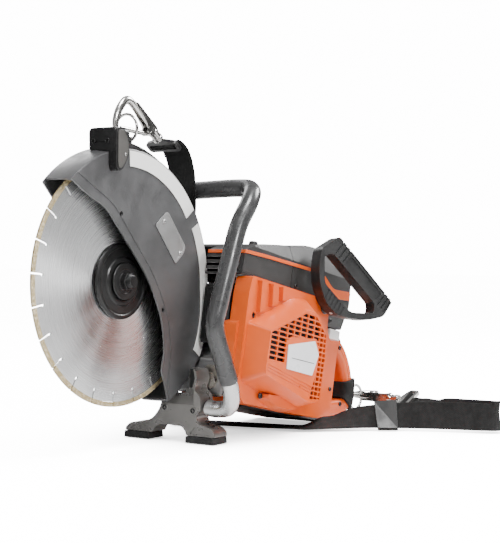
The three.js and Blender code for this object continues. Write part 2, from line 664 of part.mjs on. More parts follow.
function addEngineCore() {
  const caseOutline = outline([
    [-46, -54], [62, -60], [83, -72], [85, -18], [50, 0], [46, 46], [-46, 46],
  ], 6);
  const crankcase = cut(
    sideSlab(caseOutline, -25, 76, 3, 2),
    disc(38, 11, 59),
    disc(CRANK_SHAFT_RADIUS + 1, -30, 80),
    rod(BORE_RADIUS + 1, new THREE.Vector3(0, CYLINDER_Y, 20), new THREE.Vector3(0, CYLINDER_Y, 60), 24),
    guardSweepInEngine(0),
  );
  addPart(engine, 'crankcase', crankcase, finishes.casting);

  const fins = [];
  for (let level = 62; level < 120; level += 12) {
    fins.push([45, level], [45, level + 3], [35, level + 4], [35, level + 11]);
  }
  const barrel = turned([
    [BORE_RADIUS + GAP, 46 + GAP], [41, 46 + GAP], [41, 54], [35, 56], ...fins, [40, 124], [40, 134],
    [0, 134], [0, 121], [BORE_RADIUS + GAP, 121], [BORE_RADIUS + GAP, 46 + GAP],
  ], 16);
  barrel.rotateX(Math.PI / 2).translate(0, CYLINDER_Y, 0);
  addPart(engine, 'cylinder', barrel, finishes.casting);

  const piston = turned([
    [0, 94], [24, 94], [24, 60], [BORE_RADIUS, 60], [BORE_RADIUS, 98], [0, 98],
  ], 16).rotateX(Math.PI / 2).translate(0, CYLINDER_Y, 0);
  addPart(engine, 'piston', piston, finishes.casting);

  const plug = turned([
    [0, 134 + GAP], [9, 134 + GAP], [9, 142], [6, 142], [6, 156], [0, 156],
  ], 12).rotateX(Math.PI / 2).translate(0, CYLINDER_Y, 0);
  addPart(engine, 'spark_plug', plug, finishes.white);

  const muffler = cut(
    sideSlab(outline([[50, 16], [94, 2], [98, 92], [50, 100]], 8), 29, 78, 3, 2),
    sideSlab(outline([[53, 19], [91, 7], [95, 89], [53, 96]]), 32, 75),
    block(90, 105, 58, 68, 30, 50),
  );
  addPart(engine, 'muffler', muffler, finishes.blackPaint);

  const carburettor = cut(
    join(
      block(-100, -60, 18, 52, 64, 100),
      rod(15, new THREE.Vector3(-61, CYLINDER_Y, 82), new THREE.Vector3(-49, CYLINDER_Y, 82), 14),
    ),
    rod(9, new THREE.Vector3(-110, CYLINDER_Y, 82), new THREE.Vector3(-40, CYLINDER_Y, 82), 14),
  );
  addPart(engine, 'carburettor', carburettor, finishes.casting);

  const pleats = [];
  for (let fold = 0; fold < 8; fold += 1) {
    pleats.push([-184 + fold * 10, 110], [-179 + fold * 10, 118]);
  }
  pleats.push([-104, 110], [-104, 166], [-184, 166]);
  addPart(engine, 'air_filter', sideSlab(outline(pleats), -30, 66), finishes.white);
}

// Housings.

const VALVE = new THREE.Vector3(30, 60, 152);
const COVER_NEAR = 96;
const COVER_FAR = -58;
const COVER_WALL = 3;

function hollowCover(outer, inner, yLow) {
  return cut(
    sideSlab(outer, yLow, COVER_NEAR, 3, 3),
    sideSlab(inner, yLow + COVER_WALL, COVER_NEAR - COVER_WALL),
  );
}

function addCovers() {
  const front = cut(
    hollowCover(
      outline([[98, 106], [97, 142], [60, 158], [-10, 171], [-29, 172], [-29, 106]], 7),
      outline([[94, 100], [94, 140], [59, 155], [-10, 168], [-40, 169], [-40, 100]]),
      -27,
    ),
    guardSweepInEngine(0),
    rod(8.4, VALVE.clone().setZ(150), VALVE.clone().setZ(180), 14),
  );
  addPart(engine, 'cylinder_cover', front, finishes.charcoal);
  const rear = hollowCover(
    outline([
      [-30, 106.5], [-30, 173], [-80, 186], [-149, 189], [-186, 180], [-200, 162], [-203, 110], [-186, 68],
      [-128, 68], [-125, 98], [-115, 106.5],
    ], 5),
    outline([
      [-20, 100], [-20, 168], [-80, 182], [-149, 185], [-184, 176], [-196, 161], [-199, 111], [-180, 60],
      [-131.5, 60], [-128.5, 100], [-116, 110], [-112, 110], [-112, 100],
    ]),
    COVER_FAR,
  );
  addPart(engine, 'air_filter_cover', rear, finishes.charcoal);
  const line = outline([
    [98, 142], [40, 145], [-28, 147], [-94, 149], [-114, 147], [-148, 128], [-198, 132], [-198, 118],
    [-152, 114], [-116, 138], [-94, 144], [-28, 142], [40, 140], [98, 137],
  ]);
  addPart(engine, 'accent_strip', sideSlab(line, COVER_NEAR + GAP, COVER_NEAR + 2.4), finishes.orange);
}

const STARTER_INNER = 82;
const STARTER_FACE = 110;
const STARTER_BULGE = 145;
const ROPE_EXIT = new THREE.Vector3(-109, 0, 93);
const SLOT_HALF_HEIGHT = 3.2;

// Air slots of the starter's grille, as [rear end, front end, height above the crank].
const GRILLE_SLOTS = [
  [-45, 3, 60], [-64, 26, 48], [-71, 48, 36], [36, 72, 22], [36, 73, 9], [36, 73, -4],
  [-71, -48, 22], [-71, -54, 9], [-71, -54, -4], [-70, -53, -17], [-69, -52, -30], [-68, -51, -43],
];

function addStarterCover() {
  const base = sideSlab(outline([
    [94, 80], [90, 105], [-113, 105], [-122, 97], [-124, 60], [-136, 44], [-160, 40], [-160, -60],
    [-120, -79], [80, -79], [96, -50],
  ], 8), STARTER_INNER, STARTER_FACE, 4, 3);
  const bulge = sideSlab(outline([
    [82, 32], [-43, 88], [-70, 72], [-82, 31], [-74, -52], [-12, -76], [74, -72], [92, -50],
  ], 14), STARTER_FACE - 10, STARTER_BULGE, 7, 3);
  const room = sideSlab(outline([
    [89, 78], [86, 101], [-111, 101], [-118, 94], [-120, 58], [-134, 40], [-156, 36], [-156, -58],
    [-118, -75], [78, -75], [91, -49],
  ]), STARTER_INNER - 5, STARTER_FACE - 4);
  const well = sideSlab(outline([
    [77, 28], [-42, 82], [-65, 69], [-77, 30], [-69, -49], [-10, -71], [70, -67], [86, -48],
  ]), STARTER_FACE - 8, STARTER_BULGE - 4);
  const axle = disc(7, 107, STARTER_BULGE - 3, 16);
  const slots = GRILLE_SLOTS.map(([low, high, height]) => block(
    low, high, STARTER_BULGE - 6, STARTER_BULGE + 5, height - SLOT_HALF_HEIGHT, height + SLOT_HALF_HEIGHT,
  ));
  const rope = rod(4.5, ROPE_EXIT.clone().setY(95), ROPE_EXIT.clone().setY(120), 12);
  const hollowed = cut(join(base, bulge), room, well, rope, ...slots);
  addPart(engine, 'starter_cover', join(hollowed, axle), finishes.orange);
  const plate = outline([[31, 14], [29, -21], [-40, -22], [-52, 11], [-38, 30]], 2);
  addPart(engine, 'starter_badge', sideSlab(plate, STARTER_BULGE + GAP, STARTER_BULGE + 1.8), finishes.silverPlate);
}

const REAR_LOOP = curveThrough([
  [-203, 50, 54], [-226, 50, 50], [-248, 50, 38], [-267, 50, 17], [-278, 50, -6], [-281, 50, -28],
  [-273, 50, -45], [-248, 50, -52], [-203, 50, -60],
]);

function gripSection(extra) {
  const half = 13 + extra;
  const wide = 16 + extra;
  return outline([[-half, -wide], [half, -wide], [half, wide], [-half, wide]], 8);
}

function addTankAndRearHandle() {
  const tank = sideSlab(outline([
    [-62, 60], [-205, 66], [-205, -79], [12, -79], [12, -62], [-62, -60],
  ], 8), -55, STARTER_INNER - GAP, 3, 3);
  const inside = sideSlab(outline([
    [-67, 54], [-200, 60], [-200, -72], [4, -72], [4, -67], [-67, -67],
  ]), -50, STARTER_INNER - 5);
  const filler = disc(14, -60, -45, 20).translate(-135, 0, -10);
  addPart(engine, 'fuel_tank', cut(tank, inside, filler), finishes.orange);
  const cap = turned([[0, -70], [17, -70], [17, -55.4], [13.2, -55.4], [13.2, -48], [0, -48]], 20);
  addPart(engine, 'fuel_cap', cap.translate(-135, 0, -10), finishes.charcoal);

  const grip = sweep(gripSection(0), REAR_LOOP, 24, 2);
  const tankFace = block(-205.3, -190, 20, 80, -90, 80);
  const triggerSlot = sideSlab(outline([
    [-200, 57], [-226, 52], [-246, 41], [-257, 27], [-262, 0], [-200, 0],
  ]), 44, 56);
  addPart(engine, 'rear_handle', cut(grip, tankFace, triggerSlot), finishes.orange);
  const damper = block(-182, -152, 84, 98, 50, 66);
  addPart(engine, 'rear_damper', damper, finishes.silverPlate);
}

function addControls() {
  const trigger = sideSlab(outline([
    [-207, 42], [-226, 38], [-240, 29], [-248, 16], [-246, 6], [-238, 5], [-233, 17], [-223, 25], [-207, 28],
  ], 3), 45, 55, 0, 2);
  addPart(engine, 'throttle_trigger', trigger, finishes.rubber);
  const grip = sweep(gripSection(3.2), REAR_LOOP, 24, 2);
  const palm = sideSlab(outline([[-216, 60], [-258, 40], [-266, 47], [-244, 66], [-217, 74]], 3), 43, 57);
  addPart(engine, 'throttle_lock', cut(palm, grip), finishes.rubber);
  const valve = turned([[0, 0], [7, 0], [7, 14], [5.5, 16], [0, 16]], 14).rotateX(Math.PI / 2);
  addPart(engine, 'decompression_valve', valve.translate(...VALVE.toArray()), finishes.charcoal);
  const choke = turned([[0, -76], [9, -76], [9, -68], [4, -66], [4, -58.8], [0, -58.8]], 14);
  addPart(engine, 'choke_knob', choke.translate(-120, 0, 140), finishes.rubber);
  const toggle = block(-192, -176, -66, -55.4, 32, 50);
  addPart(engine, 'stop_switch', toggle, finishes.red);
}

// D-shaped starter handle on its rope, drawn in its own plane: the rope leaves along +Y.

const PULL = new THREE.Vector3(-0.69, 0.068, 0.72).normalize();
const GRIP_BAR = new THREE.Vector3(-0.695, 0.214, -0.687);
const GRIP_OFFSET = 128;
const GRIP_HALF_THICKNESS = 9.5;
const ROPE_RADIUS = 2.3;

function addStarterHandle() {
  const bar = GRIP_BAR.clone().addScaledVector(PULL, -GRIP_BAR.dot(PULL)).normalize();
  const handle = new THREE.Group();
  engine.updateMatrix();
  handle.position.copy(ROPE_EXIT.clone().setY(GRIP_OFFSET).applyMatrix4(engine.matrix));
  handle.quaternion.setFromRotationMatrix(
    new THREE.Matrix4().makeBasis(bar, PULL, new THREE.Vector3().crossVectors(bar, PULL)),
  );
  machine.add(handle);
  const body = outline([
    [-65, 89, 8], [87, 89, 8], [86, 56, 10], [62, 27, 14], [24, -1, 14], [4, -12, 8], [-24, -13, 8],
    [-52, 0, 12], [-72, 23, 12], [-83, 48, 8],
  ]);
  body.holes.push(outline([[-45, 9], [9, 10], [26, 12], [66, 45], [57, 59], [-60, 58], [-72, 42]], 6));
  const half = GRIP_HALF_THICKNESS;
  const ropeHole = rod(2.7, new THREE.Vector3(0, -20, 0), new THREE.Vector3(0, 6, 0), 10);
  addPart(handle, 'starter_handle', cut(slab(body, -half, half, 1.5, 3), ropeHole), finishes.rubber);
  const rope = rod(ROPE_RADIUS, new THREE.Vector3(0, -16, 0), new THREE.Vector3(0, 5.4, 0), 8);
  addPart(handle, 'starter_rope', rope, finishes.white);
}

const CUFF_SPAN = [0.455, 0.635];
const CUFF_STEPS = 9;

function addCuff() {
  const wrap = outline([[-20, -19], [20, -19], [20, 19], [-20, 19]], 8);
  wrap.holes.push(outline([[-14.6, -17.6], [14.6, -17.6], [14.6, 17.6], [-14.6, 17.6]], 8));
  const run = [];
  for (let step = 0; step <= CUFF_STEPS; step += 1) {
    run.push(REAR_LOOP.getPointAt(CUFF_SPAN[0] + ((CUFF_SPAN[1] - CUFF_SPAN[0]) * step) / CUFF_STEPS).toArray());
  }
  addPart(engine, 'rear_cuff', sweep(wrap, curveThrough(run), CUFF_STEPS, 2), finishes.webbing);
}

addBladeAssembly();
addGuard();
addCarryingHardware();
addStrap();
addStand();
addFrontHandle();
addArmAssembly();
addDrive();
addEngineCore();
addCovers();
addStarterCover();
addTankAndRearHandle();
addControls();
addStarterHandle();
addCuff();

export default saw;
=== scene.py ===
"""The looks of a rescue power cutter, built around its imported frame. Metres, +X forward, +Z up."""
import json
import math

import bmesh
import bpy
from mathutils import Matrix, Vector
from mathutils.geometry import tessellate_polygon


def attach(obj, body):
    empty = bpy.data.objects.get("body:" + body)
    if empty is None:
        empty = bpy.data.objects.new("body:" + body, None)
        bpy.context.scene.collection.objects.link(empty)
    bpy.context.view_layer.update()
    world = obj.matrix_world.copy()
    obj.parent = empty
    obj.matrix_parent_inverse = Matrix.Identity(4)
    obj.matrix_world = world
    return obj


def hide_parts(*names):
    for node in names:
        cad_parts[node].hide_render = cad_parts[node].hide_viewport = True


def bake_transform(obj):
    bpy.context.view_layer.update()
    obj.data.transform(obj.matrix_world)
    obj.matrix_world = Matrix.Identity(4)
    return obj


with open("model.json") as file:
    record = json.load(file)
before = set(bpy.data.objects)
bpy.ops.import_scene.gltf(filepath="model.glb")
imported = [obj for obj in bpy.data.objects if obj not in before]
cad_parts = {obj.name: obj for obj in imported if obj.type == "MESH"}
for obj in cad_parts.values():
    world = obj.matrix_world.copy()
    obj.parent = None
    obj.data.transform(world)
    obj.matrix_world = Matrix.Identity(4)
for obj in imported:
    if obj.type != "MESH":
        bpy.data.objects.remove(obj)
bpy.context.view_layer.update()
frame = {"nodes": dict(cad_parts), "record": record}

# Frames of the design, drawn in millimetres: the machine at the blade's centre, the engine
# pitched nose-up at the crank, and the cutting arm from the crank to the spindle.
MM = 0.001
BLADE_CENTRE = Vector((0.171, -0.033, 0.235))
CRANK = Vector((-235, 0, -115))
PITCH = math.radians(12)
ARM_SLOPE = math.atan2(-CRANK.z, -CRANK.x)
MACHINE = Matrix.Translation(BLADE_CENTRE) @ Matrix.Scale(MM, 4)
ENGINE = MACHINE @ Matrix.Translation(CRANK) @ Matrix.Rotation(-PITCH, 4, "Y")
ARM = MACHINE @ Matrix.Translation(CRANK) @ Matrix.Rotation(-ARM_SLOPE, 4, "Y")

# Driving sizes, in millimetres.
BLADE_RADIUS = 175
BLADE_SLOTS = 24
SLOT_DEPTH = 22.5
SLOT_PHASE = math.radians(4.9)
RIM_WIDTH = 7
FLANGE_RADIUS = 53
GUARD_RADIUS = 187
GUARD_WALL = 3.2
GUARD_NEAR = 25
GUARD_FAR = -26
GUARD_SHOULDER = 8
SLEEVE_RADIUS = 13.2
ELBOW_RADIUS = 12
STRAP_WIDTH = 45
COVER_NEAR = 96
STARTER_INNER = 82
STARTER_FACE = 110
STARTER_BULGE = 145


# Shapes in code.

def moved(place, x, y, z):
    return place @ Matrix.Translation((x, y, z))


def quarter(axis, turns=1):
    return Matrix.Rotation(turns * math.pi / 2, 4, axis)


def polar(radius, angle):
    return Vector((radius * math.cos(angle), radius * math.sin(angle)))


def outline(corners, radius=0, steps=6):
    """A closed loop of 2-D points; a corner is (x, y) or (x, y, radius)."""
    points = []
    for index, corner in enumerate(corners):
        own = corner[2] if len(corner) > 2 else radius
        at = Vector(corner[:2])
        before = Vector(corners[index - 1][:2])
        after = Vector(corners[(index + 1) % len(corners)][:2])
        reach = min(own, 0.45 * (at - before).length, 0.45 * (at - after).length)
        if reach <= 0:
            points.append(at)
            continue
        start = at.lerp(before, reach / (at - before).length)
        end = at.lerp(after, reach / (at - after).length)
        for step in range(steps + 1):
            t = step / steps
            points.append(start * (1 - t) ** 2 + at * (2 * t * (1 - t)) + end * t * t)
    return points


def circle(radius, x=0, y=0, count=32):
    turn = 2 * math.pi / count
    return [Vector((x + radius * math.cos(k * turn),
                    y + radius * math.sin(k * turn))) for k in range(count)]


def new_object(name, builder, place):
    bmesh.ops.remove_doubles(builder, verts=builder.verts, dist=1e-5)
    bmesh.ops.recalc_face_normals(builder, faces=builder.faces)
    mesh = bpy.data.meshes.new(name)
    builder.to_mesh(mesh)
    builder.free()
    mesh.transform(place)
    made = bpy.data.objects.new(name, mesh)
    bpy.context.scene.collection.objects.link(made)
    return made


# How a drawn point and its depth become a 3-D point, for each drawing plane.
PLANES = {
    "side": lambda p, d: (p[0], d, p[1]),
    "front": lambda p, d: (d, p[0], p[1]),
    "top": lambda p, d: (p[0], p[1], d),
}


def walls(builder, pairs):
    """The faces between each pair of rings, which have equal counts of vertices."""
    for low, high in pairs:
        for k in range(len(low)):
            after = (k + 1) % len(low)
            builder.faces.new((low[k], low[after], high[after], high[k]))


def tube(name, rings, place):
    """A solid through rings of points, with a face at each end."""
    builder = bmesh.new()
    rings = [[builder.verts.new(point) for point in ring] for ring in rings]
    walls(builder, zip(rings, rings[1:]))
    builder.faces.new(rings[0])
    builder.faces.new(rings[-1])
    return new_object(name, builder, place)


def prism(name, loops, low, high, place=MACHINE, side="side"):
    """A drawn outline, with any holes after it, thickened from low to high."""
    if not isinstance(loops[0], list):
        loops = [loops]
    point = PLANES[side]
    builder = bmesh.new()
    flat = [p for loop in loops for p in loop]
    lower = [builder.verts.new(point(p, low)) for p in flat]
    upper = [builder.verts.new(point(p, high)) for p in flat]
    if len(loops) == 1:
        builder.faces.new(lower)
        builder.faces.new(upper)
    else:
        for a, b, c in tessellate_polygon([[Vector((p[0], p[1], 0)) for p in loop] for loop in loops]):
            builder.faces.new((lower[a], lower[b], lower[c]))
            builder.faces.new((upper[a], upper[b], upper[c]))
    first = 0
    for loop in loops:
        last = first + len(loop)
        walls(builder, [(lower[first:last], upper[first:last])])
        first = last
    return new_object(name, builder, place)


def box(name, x, y, z, place=MACHINE):
    corners = [Vector((x[0], z[0])), Vector((x[1], z[0])), Vector((x[1], z[1])), Vector((x[0], z[1]))]
    return prism(name, corners, y[0], y[1], place)


def loft(name, stages, place=ENGINE):
    """A solid through drawn outlines, each (points, depth), with equal counts of points."""
    return tube(name, [[(p[0], depth, p[1]) for p in points] for points, depth in stages], place)


def turned(name, profile, place=MACHINE, segments=64, closed=False, reshape=None):
    """A profile of (radius, y) turned about Y; it is capped on the axis, or closes on itself."""
    builder = bmesh.new()
    rings = []
    for radius, height in profile:
        ring = []
        for k in range(segments):
            angle = 2 * math.pi * k / segments
            own = reshape(radius, height, angle) if reshape else radius
            ring.append(builder.verts.new((own * math.cos(angle), height, own * math.sin(angle))))
        rings.append(ring)
    pairs = list(zip(rings, rings[1:]))
    if closed:
        pairs.append((rings[-1], rings[0]))
    else:
        builder.faces.new(rings[0])
        builder.faces.new(rings[-1])
    walls(builder, pairs)
    return new_object(name, builder, place)


def plug(radius, low, high, place=MACHINE, segments=24, core=0.3):
    """A plain cylinder along Y, for cutting and joining."""
    return turned("plug", [(core, low), (radius, low), (radius, high), (core, high)], place, segments)


# Far finer than any piece is sampled, so that no section of a sweep is tilted by a chord.
CURVE_STEPS = 200


def catmull(a, b, c, d, t):
    """The Catmull-Rom curve from b to c, at the share t."""
    return 0.5 * (2 * b + (c - a) * t + (2 * a - 5 * b + 4 * c - d) * t ** 2
                  + (3 * b - a - 3 * c + d) * t ** 3)


def extended(values):
    """The knots of a curve, with one more beyond each end."""
    return [2 * values[0] - values[1], *values, 2 * values[-1] - values[-2]]


def smooth_path(points, count, low=0.0, high=1.0):
    """Evenly spaced points along a Catmull-Rom curve, over a share of its length."""
    knots = extended([Vector(p) for p in points])
    dense = []
    for k in range(1, len(knots) - 2):
        for step in range(CURVE_STEPS):
            dense.append(catmull(*knots[k - 1:k + 3], step / CURVE_STEPS))
    dense.append(knots[-2])
    lengths = [0.0]
    for before, after in zip(dense, dense[1:]):
        lengths.append(lengths[-1] + (after - before).length)
    found, at = [], 0
    for k in range(count + 1):
        wanted = lengths[-1] * (low + (high - low) * k / count)
        while at < len(lengths) - 2 and lengths[at + 1] < wanted:
            at += 1
        span = max(lengths[at + 1] - lengths[at], 1e-9)
        found.append(dense[at].lerp(dense[at + 1], min(1, (wanted - lengths[at]) / span)))
    return found


def sweep(name, section, path, place=MACHINE, across=None, scale=None):
    """A 2-D section carried along a path. across keeps its first axis near one direction."""
    rings = []
    side = across or Vector((0, 0, 1))
    for k, at in enumerate(path):
        along = (path[min(k + 1, len(path) - 1)] - path[max(k - 1, 0)]).normalized()
        wanted = across or side
        side = (wanted - along * wanted.dot(along)).normalized()
        if side.length < 0.5:
            side = along.orthogonal().normalized()
        up = along.cross(side)
        size = scale(k / (len(path) - 1)) if scale else 1
        rings.append([at + (side * p[0] + up * p[1]) * size for p in section])
    return tube(name, rings, place)


def merged(first, *others):
    """Puts the others' meshes into the first, without joining their surfaces."""
    builder = bmesh.new()
    for piece in (first, *others):
        builder.from_mesh(piece.data)
    builder.to_mesh(first.data)
    builder.free()
    for piece in others:
        bpy.data.objects.remove(piece)
    return first


def baked(piece):
    shown = piece.evaluated_get(bpy.context.evaluated_depsgraph_get())
    mesh = bpy.data.meshes.new_from_object(shown)
    piece.modifiers.clear()
    piece.data = mesh
    return piece


def combined(piece, operation, *tools):
    for tool in tools:
        step = piece.modifiers.new("combine", "BOOLEAN")
        step.operation = operation
        step.solver = "EXACT"
        step.object = tool
        baked(piece)
        bpy.data.objects.remove(tool)
    return piece


def carved(piece, *tools):
    return combined(piece, "DIFFERENCE", *tools)


def joined(piece, *tools):
    return combined(piece, "UNION", *tools)


def tidied(piece):
    """Joins flat neighbouring faces, so that bevels run along true edges."""
    builder = bmesh.new()
    builder.from_mesh(piece.data)
    bmesh.ops.remove_doubles(builder, verts=builder.verts, dist=2e-6)
    bmesh.ops.dissolve_limit(
        builder, angle_limit=math.radians(1), verts=builder.verts, edges=builder.edges,
        use_dissolve_boundaries=False,
    )
    builder.to_mesh(piece.data)
    builder.free()
    return piece


LARGE_FACE = 150 * MM * MM


def flattened(piece):
    """Shades every large many-sided face as the plane it is."""
    mesh = piece.data
    normals = [corner.vector.copy() for corner in mesh.corner_normals]
    for face in mesh.polygons:
        if len(face.vertices) > 4 and face.area > LARGE_FACE:
            for corner in face.loop_indices:
                normals[corner] = face.normal.copy()
    mesh.normals_split_custom_set(normals)
    return piece


def finished(piece, slot, body, replaces=(), bevel=0.0, segments=3, angle=32, look=None):
    """Gives a piece its material, soft edges (bevel in millimetres) and the body it rides on.

    A piece without a body is left unattached."""
    piece.data.materials.clear()
    piece.data.materials.append(look or LOOKS[slot])
    piece.data.shade_smooth()
    if bevel:
        edge = piece.modifiers.new("edges", "BEVEL")
        edge.width = bevel * MM
        edge.segments = segments
        edge.limit_method = "ANGLE"
        edge.angle_limit = math.radians(angle)
        edge.miter_outer = "MITER_ARC"
        edge.harden_normals = True
        piece.data.set_sharp_from_angle(angle=math.radians(min(angle, 28)))
        flattened(baked(piece))
    else:
        piece.data.set_sharp_from_angle(angle=math.radians(40))
    if body:
        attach(piece, body)
    if replaces:
        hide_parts(*([replaces] if isinstance(replaces, str) else replaces))
    return piece


def refined(node, slot, body, bevel=0.6, look=None):
    """A soft-edged copy of a CAD node whose shape is right."""
    source = frame["nodes"][node]
    piece = bpy.data.objects.new(node + "_surface", source.data.copy())
    bpy.context.scene.collection.objects.link(piece)
    piece.data.transform(source.matrix_world)
    return finished(tidied(piece), slot, body, node, bevel, 2, look=look)


# Materials. Texture coordinates are each object's own, so the grain stays on the moving parts.

class Look:
    """A material under construction, with its Principled shader."""

    def __init__(self, name, colour, roughness, metallic=0.0):
        self.material = bpy.data.materials.new(name)
        self.material.use_nodes = True
        self.tree = self.material.node_tree
        self.shader = next(n for n in self.tree.nodes if n.type == "BSDF_PRINCIPLED")
        self.shader.inputs["Base Color"].default_value = (*colour, 1)
        self.shader.inputs["Roughness"].default_value = roughness
        self.shader.inputs["Metallic"].default_value = metallic
        self.colour = colour
        self.roughness = roughness
        self.bumps = None
        self.place = self.add("ShaderNodeTexCoord").outputs["Object"]

    def add(self, kind, settings=(), **inputs):
        node = self.tree.nodes.new(kind)
        for key, value in dict(settings).items():
            setattr(node, key, value)
        for key, value in inputs.items():
            socket = node.inputs[key.replace("_", " ")]
            if isinstance(value, bpy.types.NodeSocket):
                self.tree.links.new(value, socket)
            else:
                socket.default_value = value
        return node

    def link(self, value, socket):
        self.tree.links.new(value, self.shader.inputs[socket])

    def noise(self, scale, detail=3.0, stretch=None):
        place = self.place
        if stretch:
            place = self.add("ShaderNodeMapping", Scale=stretch, Vector=place).outputs["Vector"]
        return self.add("ShaderNodeTexNoise", Vector=place, Scale=scale, Detail=detail).outputs["Fac"]

    def spread(self, value, low, high, start=0.35, end=0.65):
        """Maps a noise value to a range."""
        node = self.add("ShaderNodeMapRange", Value=value)
        for key, number in zip(("From Min", "From Max", "To Min", "To Max"), (start, end, low, high)):
            node.inputs[key].default_value = number
        return node.outputs["Result"]

    def mixed(self, factor, first, second):
        node = self.add("ShaderNodeMix", {"data_type": "RGBA"})
        self.tree.links.new(factor, node.inputs["Factor"])
        for index, value in ((6, first), (7, second)):
            if isinstance(value, bpy.types.NodeSocket):
                self.tree.links.new(value, node.inputs[index])
            else:
                node.inputs[index].default_value = (*value, 1)
        return node.outputs[2]

    def tinted(self, factor, other):
        """Varies the colour towards another one."""
        base = self.shader.inputs["Base Color"]
        before = base.links[0].from_socket if base.links else self.colour
        self.link(self.mixed(factor, before, other), "Base Color")
        return self

    def rough(self, value, low, high):
        self.link(self.spread(value, low, high), "Roughness")
        return self

    def bump(self, height, strength, distance=0.0004):
        node = self.add("ShaderNodeBump", Strength=strength, Distance=distance, Height=height)
        if self.bumps:
            self.tree.links.new(self.bumps, node.inputs["Normal"])
        self.bumps = node.outputs["Normal"]
        self.link(self.bumps, "Normal")
        return self

    def set(self, **values):
        for key, value in values.items():
            self.shader.inputs[key.replace("_", " ")].default_value = value
        return self


def plastic(name, colour, roughness, grain=2600, grain_depth=0.12, tint=None):
    look = Look(name, colour, roughness)
    other = tint or tuple(0.86 * c for c in colour)
    look.tinted(look.spread(look.noise(9, 4), 0, 0.5), other)
    look.rough(look.noise(34, 4), roughness - 0.05, roughness + 0.07)
    look.bump(look.noise(grain, 2), grain_depth, 0.00025)
    return look


def metal(name, colour, roughness, grain=900, grain_depth=0.1, metallic=1.0, stretch=None):
    look = Look(name, colour, roughness, metallic)
    look.tinted(look.spread(look.noise(14, 4), 0, 0.5), tuple(0.8 * c for c in colour))
    look.rough(look.noise(60, 4, stretch), roughness - 0.06, roughness + 0.1)
    look.bump(look.noise(grain, 3, stretch), grain_depth, 0.00025)
    return look


def blade_core():
    """Steel ground in circles, which draws fan-shaped highlights."""
    look = Look("blade_core", (0.74, 0.745, 0.75), 0.24, 1.0)
    look.set(Anisotropic=0.96)
    tangent = look.add("ShaderNodeTangent", {"direction_type": "RADIAL", "axis": "Y"})
    look.link(tangent.outputs["Tangent"], "Tangent")
    centred = look.add("ShaderNodeVectorMath", {"operation": "SUBTRACT"}, Vector=look.place)
    centred.inputs[1].default_value = BLADE_CENTRE
    radius = look.add("ShaderNodeVectorMath", {"operation": "LENGTH"}, Vector=centred.outputs["Vector"])
    rings = look.add("ShaderNodeTexNoise", {"noise_dimensions": "1D"},
                     W=radius.outputs["Value"], Scale=1700.0, Detail=4.0)
    look.rough(rings.outputs["Fac"], 0.2, 0.3)
    look.bump(rings.outputs["Fac"], 0.05, 0.0002)
    look.tinted(look.spread(look.noise(22, 5), 0, 0.25), (0.56, 0.56, 0.56))
    return look


def blade_grit():
    """Sand-gold bond with pits and shining grit."""
    look = Look("blade_grit", (0.5, 0.4, 0.22), 0.55, 0.55)
    cells = look.add("ShaderNodeTexVoronoi", Vector=look.place, Scale=620.0)
    look.tinted(look.spread(cells.outputs["Distance"], 1, 0, 0.1, 0.55), (0.2, 0.15, 0.08))
    look.tinted(look.spread(look.noise(260, 4), 0, 0.8, 0.45, 0.7), (0.8, 0.7, 0.5))
    look.bump(cells.outputs["Distance"], 0.7, 0.0006)
    return look


def webbing():
    """Woven nylon: fine diagonal ribs in an uneven black."""
    look = Look("webbing", (0.009, 0.009, 0.009), 0.5)
    look.set(Specular_IOR_Level=0.2)
    waves = []
    for turn in (math.radians(40), math.radians(-40)):
        mapping = look.add("ShaderNodeMapping", Rotation=(turn, turn, turn), Vector=look.place)
        waves.append(look.add("ShaderNodeTexWave", Vector=mapping.outputs["Vector"],
                              Scale=210.0, Distortion=0.6))
    both = look.add("ShaderNodeMath", {"operation": "MAXIMUM"})
    for index, wave in enumerate(waves):
        look.tree.links.new(wave.outputs["Fac"], both.inputs[index])
    look.tinted(look.spread(both.outputs["Value"], 0, 0.7, 0.2, 0.9), (0.018, 0.0177, 0.0173))
    look.tinted(look.spread(look.noise(30, 5), 0, 0.5), (0.006, 0.006, 0.006))
    look.rough(look.noise(90, 4), 0.7, 0.9)
    look.bump(both.outputs["Value"], 0.5, 0.0004)
    return look


def retroreflective(name, colour, roughness):
    """Sheeting with faint cells under a clear coat."""
    look = Look(name, colour, roughness)
    cells = look.add("ShaderNodeTexVoronoi", {"feature": "DISTANCE_TO_EDGE"}, Vector=look.place,
                     Scale=420.0)
    look.tinted(look.spread(cells.outputs["Distance"], 0.25, 0, 0.0, 0.12), tuple(0.82 * c for c in colour))
    look.rough(look.noise(50, 3), roughness - 0.04, roughness + 0.08)
    look.set(Coat_Weight=0.5, Coat_Roughness=0.12)
    return look


